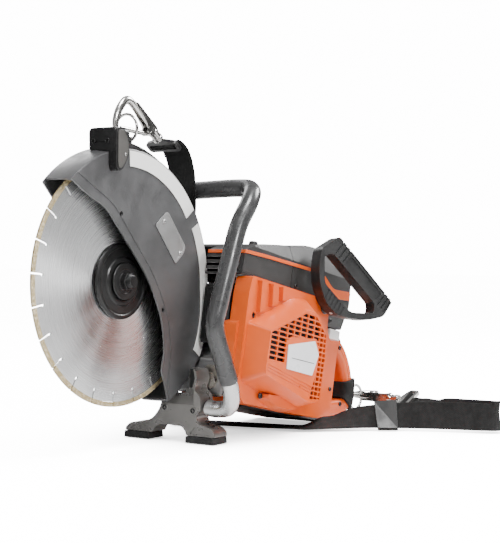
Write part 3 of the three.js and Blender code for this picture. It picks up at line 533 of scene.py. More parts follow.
LOOKS = {
    "orange_plastic": plastic("orange_plastic", (0.66, 0.088, 0.004), 0.36, 2200, 0.1, (0.6, 0.075, 0.003)),
    "charcoal_plastic": plastic("charcoal_plastic", (0.022, 0.0215, 0.021), 0.4, 2600, 0.2),
    "guard_paint": metal("guard_paint", (0.1, 0.1, 0.102), 0.34, 1600, 0.1, 0.4),
    "black_coating": metal("black_coating", (0.012, 0.012, 0.012), 0.34, 1400, 0.15, 0.3),
    "black_plastic": plastic("black_plastic", (0.009, 0.009, 0.009), 0.38, 2400, 0.2),
    "rubber": plastic("rubber", (0.011, 0.011, 0.011), 0.55, 1800, 0.3),
    "handle_sleeve": metal("handle_sleeve", (0.06, 0.06, 0.061), 0.27, 1200, 0.05, 0.4),
    "cast_aluminium": metal("cast_aluminium", (0.42, 0.42, 0.42), 0.42, 700, 0.35),
    "tube_aluminium": metal("tube_aluminium", (0.66, 0.66, 0.66), 0.24, 500, 0.1),
    "machined_steel": metal("machined_steel", (0.5, 0.5, 0.5), 0.26, 1500, 0.08),
    "hook_chrome": metal("hook_chrome", (0.62, 0.61, 0.59), 0.16, 120, 0.05),
    "blade_steel": blade_core(),
    "stand_casting": metal("stand_casting", (0.2, 0.193, 0.185), 0.3, 900, 0.2, 0.5),
    "webbing": webbing(),
    "white_film": retroreflective("white_film", (0.86, 0.86, 0.84), 0.35),
    "silver_film": retroreflective("silver_film", (0.68, 0.68, 0.66), 0.36),
    "filter_paper": plastic("filter_paper", (0.75, 0.73, 0.66), 0.85, 900, 0.3),
    "porcelain": plastic("porcelain", (0.85, 0.85, 0.83), 0.2, 200, 0.03),
    "piston_aluminium": metal("piston_aluminium", (0.5, 0.5, 0.5), 0.28, 800, 0.1),
    "starter_cord": plastic("starter_cord", (0.7, 0.7, 0.68), 0.75, 900, 0.6),
    "red_plastic": plastic("red_plastic", (0.5, 0.03, 0.02), 0.4),
}
LOOKS["handle_sleeve"].set(Coat_Weight=0.2, Coat_Roughness=0.3)
# Near-black plastic for plates set behind openings and in recesses: painted shade.
PAINTED_SHADE = plastic("painted_shade", (0.008, 0.008, 0.008), 0.8).material
GRIT = blade_grit().material
PLATE_METAL = metal("guard_badge", (0.34, 0.34, 0.34), 0.36, 900, 0.15, 0.6).material
LOOKS = {name: look.material for name, look in LOOKS.items()}

for entry in frame["record"]["subparts"]:
    node = frame["nodes"][entry["node"]]
    node.data.materials.clear()
    node.data.materials.append(LOOKS[entry["material_slot"]])


def screw(name, at, facing, radius=5.0, body="power_unit", slot="black_plastic", place=ENGINE, height=2.6):
    """A socket-head screw whose head faces along a direction."""
    profile = [(0.1, 0), (radius, 0), (radius, height - 0.8), (radius - 0.9, height),
               (radius * 0.62, height),
               (radius * 0.56, height - 0.4), (radius * 0.5, height - 2.1), (0.1, height - 2.1)]
    turn = Vector((0, 1, 0)).rotation_difference(Vector(facing)).to_matrix().to_4x4()
    head = turned(name, profile, place @ Matrix.Translation(at) @ turn, 24)
    return finished(head, slot, body, bevel=0.15, segments=2)


# The camera stands ahead and to the left, a little above the blade's centre. Metres and millimetres.
CAMERA_OFFSET = Vector((1.5406, 1.3248, 0.0585))
CAMERA_AIM = Vector((-0.8137, -0.5808, -0.0221))
SENSOR_WIDTH = 36
FOCAL_LENGTH = 96.13
camera = bpy.data.objects.new("camera", bpy.data.cameras.new("camera"))
camera.location = BLADE_CENTRE + CAMERA_OFFSET
camera.rotation_euler = CAMERA_AIM.to_track_quat("-Z", "Y").to_euler()
camera.data.sensor_width = SENSOR_WIDTH
camera.data.lens = FOCAL_LENGTH
bpy.context.scene.collection.objects.link(camera)
bpy.context.scene.camera = camera


# The carrying strap. Stations are (x, y, z) and the direction across the webbing.
STRAP_STATIONS = [
    (-132.5, -30, 193.5, 0, 1, 0), (-146, -29, 203.5, 0, 1, 0), (-159, -24, 190, -0.1, 1, -0.1),
    (-165, -18, 160, -0.1, 1, 0), (-166, -18, 124, -0.25, 0.95, 0), (-182, -34, 92, -0.6, 0.8, 0),
    (-208, -58, 76, -0.8, 0.5, -0.2), (-232, -84, 50, -0.95, 0.2, -0.3), (-243, -100, 5, -1, 0, -0.1),
    (-247, -104, -60, -1, 0, 0), (-250, -108, -140, -1, 0, 0), (-256, -112, -205, -1, 0, 0),
    (-268, -100, -232, -1, 0.1, 0), (-285, -50, -233, -1, 0.1, 0), (-300, 20, -233, -1, 0.25, 0),
    (-316, 88, -233, -0.9, 0.4, 0), (-352, 132, -231, -0.75, 0.6, 0.15), (-395, 190, -222, -0.7, 0.4, 0.5),
    (-428, 255, -216, -0.6, 0.25, 0.8), (-450, 315, -214, -0.55, 0.1, 0.85),
    (-463, 348, -213, -0.5, -0.1, 0.85),
    (-476, 352, -212, -0.3, -0.3, 0.9), (-487, 335, -212, -0.35, 0.2, 0.9),
    (-498, 290, -214, -0.45, 0.2, 0.85),
    (-520, 225, -217, -0.6, 0.1, 0.7), (-539, 184, -213, -0.85, 0, 0.45), (-546, 166, -213, -0.9, 0, 0.42),
    (-547, 155, -210.5, -0.9, 0, 0.42), (-542.3, 151.8, -200.6, -0.9, 0, 0.42),
]
STRAP_STEPS = 260


def strap_frames(low=0.0, high=1.0, steps=STRAP_STEPS):
    """Centre, direction across and direction through the webbing, along the strap."""
    knots = extended([Vector(s[:3]) for s in STRAP_STATIONS])
    spread = extended([Vector(s[3:]) for s in STRAP_STATIONS])

    def at(values, amount):
        whole = amount * (len(values) - 3)
        k = min(int(whole), len(values) - 4)
        return catmull(*values[k:k + 4], whole - k)

    found = []
    for step in range(steps + 1):
        amount = low + (high - low) * step / steps
        centre = at(knots, amount)
        ahead, behind = at(knots, min(1, amount + 0.002)), at(knots, max(0, amount - 0.002))
        along = (ahead - behind).normalized()
        across = at(spread, amount)
        across = (across - along * across.dot(along)).normalized()
        through = along.cross(across)
        reach = abs(across.z) * (STRAP_WIDTH / 2 + 2) + abs(through.z) * 4
        centre.z = max(centre.z, reach - BLADE_CENTRE.z / MM)
        found.append((centre, across, through))
    return found


def ribbon(name, frames, section):
    """Webbing with its selvedges: a thin section carried along the frames."""
    rings = [[centre + across * a + through * b for a, b in section] for centre, across, through in frames]
    return tube(name, rings, MACHINE)


def add_strap():
    half, thick = STRAP_WIDTH / 2, 1.1
    upper = [(-half, 0.2), (-half + 0.8, thick), (-half + 3, thick), (-half + 4, 0.8 * thick),
             (-8, 0.8 * thick),
             (8, 0.8 * thick), (half - 4, 0.8 * thick), (half - 3, thick), (half - 0.8, thick), (half, 0.2)]
    section = upper + [(a, -b) for a, b in reversed(upper)]
    frames = strap_frames()
    strap = ribbon("strap", frames, section)
    finished(strap, "webbing", None, "strap_webbing")
    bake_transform(strap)
    # The webbing is doubled near each hook.
    for tag, low, high, body in (("top", 0.012, 0.075, "guard"), ("rear", 0.93, 0.975, "power_unit")):
        stitched = [(c + t * 2.6, a, t) for c, a, t in strap_frames(low, high, 16)]
        doubled = ribbon(f"strap_{tag}_fold", stitched, [(a * 0.97, b) for a, b in section])
        finished(doubled, "webbing", body)
    refined("strap_slider", "black_coating", "power_unit", 0.5)


# Blade, flanges and bolt.

def add_blade():
    bottom = BLADE_RADIUS - SLOT_DEPTH
    rim = BLADE_RADIUS - RIM_WIDTH
    pitch = 2 * math.pi / BLADE_SLOTS
    half = 1.1 / BLADE_RADIUS
    core, segments = [], []
    for slot in range(BLADE_SLOTS):
        middle = SLOT_PHASE + slot * pitch
        start, end = middle + half, middle + pitch - half
        for step in range(9):
            core.append(polar(rim - 0.2, start + (end - start) * step / 8))
        hole = polar(bottom + 2.8, middle + pitch)
        core.append(polar(bottom + 5, middle + pitch) + polar(1, middle + pitch - math.pi / 2) * 1.1)
        for step in range(7):
            angle = middle + pitch - math.radians(115) - math.radians(130) * step / 6
            core.append(hole + polar(2.8, angle + math.radians(60)))
        core.append(polar(bottom + 5, middle + pitch) - polar(1, middle + pitch - math.pi / 2) * 1.1)
        arc = [polar(BLADE_RADIUS, start + (end - start) * step / 8) for step in range(9)]
        inner = [polar(rim, end - (end - start) * step / 8) for step in range(9)]
        segments.append(prism(f"segment_{slot}", arc + inner, -1.6, 1.6))
    disc = prism("blade_core", [core, circle(12.8, count=40)], -1.25, 1.25)
    carved(disc, turned("mark", [(97, 1.1), (97.7, 1.1), (97.7, 2), (97, 2)], segments=120, closed=True))
    finished(disc, "blade_steel", "blade_assembly", "blade", 0.15, 2)
    teeth = merged(*segments)
    teeth.name = "blade_segments"
    finished(teeth, "blade_steel", "blade_assembly", bevel=0.35, segments=2, look=GRIT)
    plate = [(10.6, 2), (10.6, 8.2), (27, 8.2), (27.6, 9.4), (30, 9.6), (33, 9.2), (35, 7.6), (46, 6.6),
             (47.5, 7.4),
             (50, 7.4), (FLANGE_RADIUS - 0.6, 6.4), (FLANGE_RADIUS, 5.4), (FLANGE_RADIUS, 2)]
    outer = turned("outer_flange_turned", plate, segments=96, closed=True)
    finished(outer, "black_coating", "blade_assembly", "outer_flange", 0.3, 2)
    finished(turned("inner_flange_turned", [(r, -h) for r, h in plate], segments=96, closed=True),
             "black_coating", "blade_assembly", "inner_flange", 0.3, 2)
    head = [(0.1, 10.4), (25, 10.4), (26, 11), (26, 12.2), (25, 13), (17, 13.4), (16.4, 12.6), (13.4, 12.6),
            (13, 13.2)]
    washer = turned("blade_bolt_washer", head + [(0.1, 13.2)], segments=64)
    finished(washer, "machined_steel", "blade_assembly", "blade_bolt", 0.3, 2, look=LOOKS["black_coating"])
    hexagon = circle(12.5, count=6)
    finished(prism("blade_bolt_head", hexagon, 12.8, 21), "machined_steel", "blade_assembly",
             bevel=1.0, look=LOOKS["black_coating"])
    thread = [(0.1, 20.5)]
    for turn in range(5):
        thread += [(9, 20.8 + 1.5 * turn), (7.8, 21.5 + 1.5 * turn)]
    finished(turned("blade_bolt_thread", thread + [(7.6, 28.4), (0.1, 28.4)], segments=32),
             "black_coating", "blade_assembly", bevel=0.12, segments=1)


# Blade guard.

GUARD_OUTLINE = [
    (0, 187, 187), (88, 187, 183.5), (143, 187, 173.5), (160, 187, 171.5), (185, 188, 173), (200, 190, 182),
    (216, 192, 191), (360, 192, 191),
]


def guard_radii(angle):
    degrees = math.degrees(angle) % 360
    for (a, crown_a, face_a), (b, crown_b, face_b) in zip(GUARD_OUTLINE, GUARD_OUTLINE[1:]):
        if degrees <= b:
            share = (degrees - a) / (b - a)
            return crown_a + (crown_b - crown_a) * share, face_a + (face_b - face_a) * share
    return GUARD_OUTLINE[-1][1:]


def guard_body(name, inset, segments=240):
    """The round body of the guard; its near shoulder follows the outline's face radius."""
    far, near, crown = GUARD_FAR + inset, GUARD_NEAR - inset, GUARD_RADIUS - inset
    profile = [(0.5, far), (crown - 4, far), (crown - 1.2, far + 1.2), (crown, far + 4),
               (crown, GUARD_SHOULDER - 6),
               (crown, near - 3), (crown, near - 0.9), (crown - 1.1, near), (0.5, near)]

    def reshape(radius, height, angle):
        if radius < 1:
            return radius
        own_crown, face = guard_radii(angle)
        share = max(0.0, (height - GUARD_SHOULDER) / (near - GUARD_SHOULDER)) ** 1.25
        return own_crown + (face - own_crown) * share - GUARD_RADIUS + radius

    return turned(name, profile, segments=segments, reshape=reshape)


def add_guard():
    shell = guard_body("guard_housing", 0)
    front, rear, reach = math.radians(47), math.radians(247), 260
    open_side = outline([
        polar(reach, front), (70, 74), (52, 0), (34, -40), (-10, -52), (-46, -72),
        polar(reach, rear), (reach, -reach),
    ])
    near_edge = outline([
        (205, 187), (137, 147, 8), (93, 120, 12), (52, 101, 14), (-38, 1, 30), (-67, -56, 20),
        (-72, -102, 12), (-63, -134, 10), (-72, -165, 4), (-78, -230), (230, -230),
    ])
    collar = plug(29, -32, -17, segments=64, core=0.5)
    carved(shell, guard_body("inside", GUARD_WALL), prism("open", open_side, -32, 32),
           prism("near", near_edge, GUARD_FAR + 5, GUARD_NEAR + 15), collar)
    holes = [plug(3.4, 15, 30, moved(MACHINE, x, 0, z), 20) for x, z in ((23, 94), (-68, -42))]
    lip = prism("lip", outline([
        (205, 205), (129, 158, 8), (81, 131, 12), (38, 107, 14), (-52, 3, 30), (-81, -56, 20),
        (-86, -104, 12),
        (-78, -140, 10), (-90, -230), (230, -230)]), GUARD_NEAR - 0.7, GUARD_NEAR + 15)
    carved(shell, *holes, lip)
    finished(tidied(shell), "guard_paint", "guard", "guard_shell", 0.5, 2, 18)
    for tag, x, z in (("front", 23, 94), ("rear", -68, -42)):
        screw(f"guard_screw_{tag}", (x, GUARD_NEAR - 4.4, z), (0, 1, 0), 3.1, "guard", "black_plastic",
              MACHINE, 3)


def strip_loop(start, end, outer_inset, inner_inset, steps=40):
    """A strip that follows the edge of the guard's face, from start to end in degrees."""
    outer, inner = [], []
    for step in range(steps + 1):
        angle = math.radians(start + (end - start) * step / steps)
        face = guard_radii(angle)[1]
        ray = polar(1, angle)
        outer.append(ray * (face - outer_inset))
        inner.append(ray * (face - inner_inset))
    return outer + inner[::-1]


def add_guard_trim():
    near = GUARD_NEAR
    band = prism("guard_band_film", strip_loop(88, 143.5, 2.2, 24), near + 0.35, near + 1.3)
    finished(band, "white_film", "guard", "guard_band", 0.25, 2)
    reflector = prism("guard_reflector_film", strip_loop(151, 217, 2.2, 20), near + 0.35, near + 1.3)
    finished(reflector, "silver_film", "guard", "guard_reflector", 0.25, 2)
    corners = [(-49.5, 79.7, 4), (-76.4, 99.7, 8), (-117.9, 48.1, 6), (-113.2, 38, 6), (-94.5, 23.5, 4)]
    plate = prism("guard_plate_metal", outline(corners), near + 0.35, near + 1.5)
    inner = [(x * 0.91 - 7.4, z * 0.91 + 5.2, r) for x, z, r in corners]
    carved(plate, prism("panel", outline(inner), near + 1.1, near + 3))
    finished(plate, "silver_film", "guard", "guard_plate", 0.3, 2, look=PLATE_METAL)
    for tag, x, z in (("upper", -69, 84), ("lower", -105, 39)):
        screw(f"guard_plate_rivet_{tag}", (x, near + 0.9, z), (0, 1, 0), 3.2, "guard", "machined_steel",
              MACHINE, 1.8)


def add_guard_handle():
    bar = prism("guard_handle_bar", outline([(-10, 178), (38, 178), (38, 211), (-10, 211)], 8, 8), 21, 50,
                side="front")
    leg = prism("leg", outline([
        (49, 210, 6), (34, 211, 6), (26, 200, 6), (21, 184, 8), (26, 168, 8), (37, 153, 6), (47, 151, 5),
        (50, 160, 4)]),
        25.6, 39)
    rail_loop = []
    for radius, angles in ((198, range(82, 125, 2)), (180, range(124, 81, -2))):
        rail_loop += [polar(radius, math.radians(a)) for a in angles]
    rail = prism("rail", rail_loop, -30, -6)
    lug = box("lug", (-60, -44), (-34, -26), (186, 206))
    grip = joined(bar, leg, rail, lug)
    eye = plug(3.4, -40, -20, moved(MACHINE, -52, 0, 198))
    groove = prism("groove", outline([(-12, 190.5), (24, 190.5), (24, 193), (-12, 193)]), 49, 52,
                   side="front")
    carved(grip, guard_body("round", -0.4), eye, groove)
    finished(tidied(grip), "black_plastic", "guard", "guard_handle", 1.6, 4, 38)
    # A lighter grey plate over the outer side of the black leg: painted light on its rounded side.
    painted_light_cheek = prism("guard_handle_cheek", outline([
        (46, 207, 5), (35, 208, 5), (28, 199, 6), (24, 184, 8), (28, 169, 8), (38, 156, 5), (45, 155, 5),
        (47, 164, 4)]),
        38.9, 40.2)
    finished(painted_light_cheek, "black_plastic", "guard", bevel=0.8, look=PAINTED_LIGHT_CHEEK)
    for tag, y in (("left", -1), ("right", 24)):
        screw(f"guard_handle_bolt_{tag}", (49.4, y, 193), (1, 0, 0), 3.6, "guard", "black_coating", MACHINE,
              2.6)
    screw("guard_handle_pin", (31, 39.8, 174), (0, 1, 0), 2.2, "guard", "machined_steel", MACHINE, 1.4)


# Lighter grey plastic for the handle's side plate: painted light.
PAINTED_LIGHT_CHEEK = plastic("painted_light_cheek", (0.055, 0.052, 0.048), 0.42, 1500, 0.3).material


# Rings and snap hooks.

HOOK_PATH = [(30, 0, 0), (60, 0, 0), (90, -1, 0), (103, 5, 0), (106, 22, 0), (103, 39, 0), (97, 49, 0),
             (90, 53, 0)]
TOP_RING = Vector((-52, -30, 218))
TOP_EYE = Vector((-135, -30, 198))
REAR_EYE = Vector((-545, 150, -206))
REAR_RING = Vector((-548, 52, -207))
RING_RADIUS = 20
RING_WIRE = 2.2
RING_STEPS, WIRE_STEPS = 64, 16


def ring(name, centre, turn, body, node):
    builder = bmesh.new()
    rings = []
    for at in circle(RING_RADIUS, count=RING_STEPS):
        middle = at.to_3d()
        out = middle.normalized() * RING_WIRE
        rings.append([builder.verts.new(middle + out * math.cos(a) + Vector((0, 0,
                                                                             RING_WIRE * math.sin(a))))
                      for a in (2 * math.pi * j / WIRE_STEPS for j in range(WIRE_STEPS))])
    for k in range(RING_STEPS):
        for j in range(WIRE_STEPS):
            builder.faces.new((rings[k][j], rings[k - 1][j], rings[k - 1][j - 1], rings[k][j - 1]))
    finished(new_object(name, builder, moved(MACHINE, *centre) @ turn), "hook_chrome", body, node)


def add_hook(prefix, eye, nose, mouth, roll, bodies):
    axis = nose.normalized()
    side = (mouth - axis * mouth.dot(axis)).normalized()
    basis = Matrix((axis, side, axis.cross(side))).transposed().to_4x4()
    place = MACHINE @ Matrix.Translation(eye) @ basis
    frame_body, hook_body, gate_body = bodies
    wire = [(5.0 * math.cos(a), 6.0 * math.sin(a)) for a in (2 * math.pi * k / 20 for k in range(20))]
    path = smooth_path(HOOK_PATH, 70)
    limb = sweep("hook_limb", wire, path, place, Vector((0, 0, 1)),
                 lambda t: 1 - 0.22 * max(0, t - 0.75) / 0.25)
    spine = prism("spine", outline([(30, -6.5), (86, -5.5), (90, -3), (60, 3), (44, 6), (44, 13), (30, 8)],
                                   3),
                  -7, 7, place, "top")
    channel = prism("channel", outline([(48, -4), (84, -4), (84, 8), (48, 14)], 2), -3.4, 3.4, place, "top")
    mouth_cut = prism("mouth", outline([(34, 4.5), (60, 4.5), (60, 30), (34, 20)]), -3.6, 3.6, place, "top")
    barrel = turned("barrel", [(0.3, 12), (7.2, 12), (8, 13.2), (8, 18), (7, 19), (7, 26), (8, 27), (8, 32),
                               (7, 33),
                               (0.3, 33)], place @ quarter("Z", -1), 32)
    body = joined(spine, limb, barrel)
    carved(body, channel, mouth_cut)
    body.name = f"{prefix}_hook_forging"
    finished(tidied(body), "hook_chrome", hook_body, f"{prefix}_hook_body", 0.7, 3, 38)
    gate_path = [Vector((37, 11, 0)).lerp(Vector((87.5, 44, 0)), t / 12) for t in range(13)]
    gate = sweep(f"{prefix}_gate_blade", [(a * 0.56, b * 0.6) for a, b in wire], gate_path, place,
                 Vector((0, 0, 1)),
                 lambda t: 0.8 + 0.25 * math.sin(math.pi * t))
    finished(gate, "hook_chrome", gate_body, f"{prefix}_hook_gate", 0.3, 2, 50)
    pin = turned(f"{prefix}_gate_pin", [(0.2, -8), (2.6, -8), (3, -7.6), (3, 7.6), (2.6, 8), (0.2, 8)],
                 moved(place, 37, 11, 0) @ quarter("X"), 20)
    finished(pin, "hook_chrome", hook_body, bevel=0.2, segments=2)
    loop = outline([(-29, -12), (29, -12), (29, 6), (8, 11.5), (-8, 11.5), (-29, 6)], 6, 8)
    slot_loop = outline([(-24, -7), (24, -7), (24, 2), (-24, 2)], 3, 6)
    tilt = Matrix.Rotation(math.radians(roll), 4, "X")
    plate = prism(f"{prefix}_eye_loop", [loop, slot_loop[::-1]], -2.6, 2.6,
                  place @ tilt @ (quarter("Z") @ quarter("X")), "front")
    finished(plate, "hook_chrome", frame_body, f"{prefix}_hook_eye", 1.1, 4, 38,
             look=LOOKS["black_coating"] if prefix == "top" else None)


def add_carrying_hardware():
    ring("top_ring_wire", TOP_RING, quarter("Y"), "guard", "top_ring")
    ring("rear_ring_wire", REAR_RING, quarter("X"), "power_unit", "rear_ring")
    add_hook("top", TOP_EYE, Vector((83, 0, 66)), Vector((1, 0, -1)), 0, ("guard", "top_hook", "top_gate"))
    add_hook("rear", REAR_EYE, Vector((-6, -98, 2)), Vector((-1, 0, 0)), 65,
             ("power_unit", "rear_hook", "rear_gate"))


# Front stand.

def add_stand():
    face = outline([
        (-79, -224.6, 2), (-27, -224.6, 2), (-22, -216, 3), (-10, -211, 4), (28, -212, 4), (34, -219, 3),
        (36, -224.6, 2), (88, -224.6, 2), (87, -218, 5), (80, -212, 6), (57, -207, 8), (53, -197, 8),
        (62, -187, 7), (62, -166, 8), (50, -158, 7), (57, -142, 8), (53, -128, 4), (30, -128, 3),
        (28.5, -165, 2), (-7, -167, 2), (-13, -188, 8), (-28, -205, 9), (-70, -213, 8), (-78, -220, 4)])
    casting = prism("stand_casting", face, -136, -106, side="front")
    recess = prism("recess", outline([(20, -157), (47, -157), (52, -142), (48, -120), (20, -120)], 2), -123,
                   -98,
                   side="front")
    slope = prism("slope", outline([(-105.5, -181), (-116, -159), (-116, -156), (-98, -156), (-98, -181)]),
                  -20, 49.5)
    foot_grooves = [prism("foot", outline(loop, 3), -107.2, -100, side="front") for loop in (
        [(-70, -222), (-38, -222), (-32, -214), (-64, -217)],
        [(42, -222), (80, -222), (74, -215), (50, -212)])]
    carved(casting, recess, slope, *foot_grooves)
    finished(tidied(casting), "stand_casting", "power_unit", "stand", 1.6, 4, 34)
    # A near-black plate at the bottom of the stand's recess: painted shade in the recess.
    shade_plate = box("stand_shade_plate", (-124, -122.6), (30.5, 47), (-156, -129))
    finished(shade_plate, "black_plastic", "power_unit", bevel=0.3, look=PAINTED_SHADE)
    for tag, y, z in (("right", -3, -186), ("left", 49, -188)):
        boss = turned(f"stand_boss_{tag}", [(0.2, 0), (5.6, 0), (5.6, 1.6), (4.9, 2.2), (0.2, 2.2)],
                      moved(MACHINE, -107, y, z) @ quarter("Z", -1), 28)
        finished(boss, "stand_casting", "power_unit", bevel=0.3)
        screw(f"stand_bolt_{tag}", (-105.4, y, z), (1, 0, 0), 3.9, "power_unit", "black_plastic", MACHINE,
              2.2)
    for tag, low, high in (("right", -79, -31), ("left", 36, 87)):
        loop = outline([(low, -234.9), (high, -234.9), (high - 1, -225), (low + 1, -225)], 1.5)
        pad = prism(f"stand_pad_{tag}_rubber", loop, -137, -103, side="front")
        grooves = [box("groove", (-140, -100), (y, y + 1.6), (-236, -233.6)) for y in range(low + 6,
                                                                                            high - 4, 7)]
        carved(pad, *grooves)
        finished(tidied(pad), "rubber", "power_unit", f"stand_pad_{tag}", 1.8, 3)
    # The cast foot of the crankcase, seen between the stand and the front handle.
    lump = turned("handle_boss", [(0.3, 0), (15, 0), (17, 2), (18, 8), (17, 17), (13, 19), (12, 26),
                                  (0.3, 26)],
                  moved(MACHINE, -164, 52, -147) @ quarter("Z", -1), 40)
    rib = prism("rib", outline([(34, -170), (72, -170), (66, -150), (60, -124), (44, -124), (36, -150)], 6),
                -163, -143,
                side="front")
    finished(tidied(joined(lump, rib)), "cast_aluminium", "power_unit", bevel=1.6, look=CAST_BRONZE)


CAST_BRONZE = metal("cast_boss", (0.5, 0.47, 0.42), 0.3, 500, 0.5, 0.9).material


# Front handle.

HANDLE_PATH = [
    (-121, 65, -184), (-121, 82, -185), (-118, 104, -180), (-105, 118, -157), (-91, 115, -115),
    (-77, 110, -66), (-86, 111, -30), (-107, 112, 24), (-131, 111, 76), (-158, 111, 111), (-180, 99, 130),
    (-187, 70, 134), (-185, 0, 132), (-184, -44, 130), (-180, -70, 121), (-171, -83, 96), (-156, -88, 56),
    (-148, -76, 32), (-144, -54, 18), (-142, -38, 1),
]


def add_front_handle():
    lower = sweep("front_handle_elbow", circle(ELBOW_RADIUS, count=32),
                  smooth_path(HANDLE_PATH, 40, 0, 0.118))
    upper = sweep("upper", circle(9.8, count=32), smooth_path(HANDLE_PATH, 30, 0.92, 1))
    finished(merged(lower, upper), "tube_aluminium", "power_unit", "front_handle_tube", 0.8, 3, 50)

    def swell(t):
        edge = min(t, 1 - t)
        return 1 - 0.1 * max(0, 1 - edge / 0.006)

    sleeve = sweep("front_handle_grip", circle(SLEEVE_RADIUS, count=36),
                   smooth_path(HANDLE_PATH, 240, 0.117, 0.93),
                   scale=swell)
    finished(sleeve, "handle_sleeve", "power_unit", "front_handle_sleeve", 0.8, 3, 50)


# Covers over the cylinder and the air filter.

def add_covers():
    near = COVER_NEAR

    def lean(inset):
        """Above the accent line the near side leans in towards the top."""
        edge = near - inset
        return prism("lean", outline([(edge + 1, 149), (near + 20, 149), (near + 20, 205),
                                      (edge - 26, 205)]), -215, 110,
                     ENGINE, "front")

    front = prism("cylinder_cover_shell", outline(
        [(98, 106, 3), (97, 142, 8), (60, 158, 14), (-10, 171, 10), (-29, 172, 1), (-29, 106, 1)]), -27,
        near, ENGINE)
    hollow = prism("hollow", outline([(94, 100), (94, 140), (59, 155), (-10, 168), (-40, 169), (-40, 100)]),
                   -24, near - 3, ENGINE)
    valve_hole = plug(8.4, -30, 30, moved(ENGINE, 30, 60, 165) @ quarter("X"), 32)
    louvres = [box("louvre", (90, 102), (14, 88), (z, z + 4.6), ENGINE) for z in (109, 118, 127)]
    carved(front, carved(hollow, lean(5)), guard_clearance(), valve_hole, *louvres)
    step = box("step", (-40, 110), (near - 0.8, near + 5), (100, 109.5), ENGINE)
    carved(front, lean(0), step)
    finished(tidied(front), "charcoal_plastic", "power_unit", "cylinder_cover", 1.8, 4, 30)

    rear = prism("air_filter_cover_shell", outline([
        (-30, 106.5, 1), (-30, 173, 1), (-80, 186, 30), (-149, 189, 20), (-186, 180, 14), (-200, 162, 12),
        (-203, 110, 6), (-186, 68, 3), (-128, 68, 4), (-125, 98, 4), (-115, 106.5, 4)]), -58, near, ENGINE)
    inside_shape = prism("inside", outline([
        (-20, 100), (-20, 168), (-80, 182), (-149, 185), (-184, 176), (-196, 161), (-199, 111), (-180, 60),
        (-131.5, 60), (-128.5, 100), (-116, 110), (-112, 110), (-112, 100)]), -55, near - 3, ENGINE)
    back_grooves = [box("groove", (-208, -200.4), (-40, 80), (z, z + 2.2), ENGINE) for z in range(118, 160,
                                                                                                  9)]
    carved(rear, carved(inside_shape, lean(5)), *back_grooves)
    carved(rear, lean(0), box("step", (-116, -20), (near - 0.8, near + 5), (100, 109.5), ENGINE))
    finished(tidied(rear), "charcoal_plastic", "power_unit", "air_filter_cover", 1.8, 4, 30)

    strip = prism("accent_strip_moulding", outline([
        (98, 142), (40, 145, 10), (-28, 147, 10), (-94, 149, 10), (-114, 147, 10), (-148, 128, 10),
        (-198, 132),
        (-198, 118), (-152, 114, 10), (-116, 138, 10), (-94, 144, 10), (-28, 142, 10), (40, 140, 10),
        (98, 137)]),
        near + 0.3, near + 2, ENGINE)
    finished(strip, "orange_plastic", "power_unit", "accent_strip", 0.5, 3, 45)
    wrap = box("accent_front", (97.6, 99.4), (30, near + 1.6), (136.8, 141.6), ENGINE)
    finished(wrap, "orange_plastic", "power_unit", bevel=0.4)
    band = box("accent_rear", (-204.6, -200.5), (-40, near - 1), (118, 131), ENGINE)
    finished(band, "orange_plastic", "power_unit", bevel=0.6)
    screw("cover_screw_side", (-43, near - 0.6, 114), (0, 1, 0), 3.6)
    screw("cover_screw_lower", (-150, near - 0.4, 78), (0, 1, 0), 3.6)
    screw("cover_screw_rear", (-204, 20, 150), (-1, 0, 0), 3.8)


def guard_clearance():
    """The room that the turning guard needs."""
    return plug(GUARD_RADIUS + 9, -30, 28, segments=120, core=0.5)


# Starter cover, its grille and its badge. The rope leaves at ROPE_U, ROPE_W.

ROPE_U, ROPE_W = -109, 93
GRILLE = [
    (75, 26), (-12, 68.5), (-35, 68.5), (-68.5, 43), (-72, 8), (-69, -54), (-42, -57), (-45, -38),
    (-54, -14), (-55, 14),
    (-43, 34), (24, 27), (35, 18), (35, -15), (75, -15),
]
GRILLE_PITCH = 7.4
GRILLE_RIBS = [55.5, 34, 17, 0, -17, -35, -53, -63.5]


def spans(at, upright):
    """The stretches of the grille's opening that one of its bars crosses."""
    loop = [(y, x) if upright else (x, y) for x, y in GRILLE]
    hits = sorted((bx - ax) * (at - ay) / (by - ay) + ax
                  for (ax, ay), (bx, by) in zip(loop, loop[1:] + loop[:1]) if (ay > at) != (by > at))
    return zip(hits[::2], hits[1::2])


def add_grille():
    """Level bars and upright ribs across the opening that the badge leaves free."""
    back, face = STARTER_BULGE - 3.4, STARTER_BULGE - 0.15
    pieces = []
    for row in range(17):
        height = 67.7 - GRILLE_PITCH * row
        for low, high in spans(height, False):
            pieces.append(box("bar", (low - 1.5, high + 1.5), (back, face), (height - 1.15, height + 1.15),
                              ENGINE))
    for rib in GRILLE_RIBS:
        for low, high in spans(rib, True):
            pieces.append(box("rib", (rib - 1.1, rib + 1.1), (back, face - 0.15), (low - 1.5, high + 1.5),
                              ENGINE))
    bars = merged(*pieces)
    bars.name = "starter_grille_bars"
    finished(bars, "orange_plastic", "power_unit", bevel=0.35, segments=2)


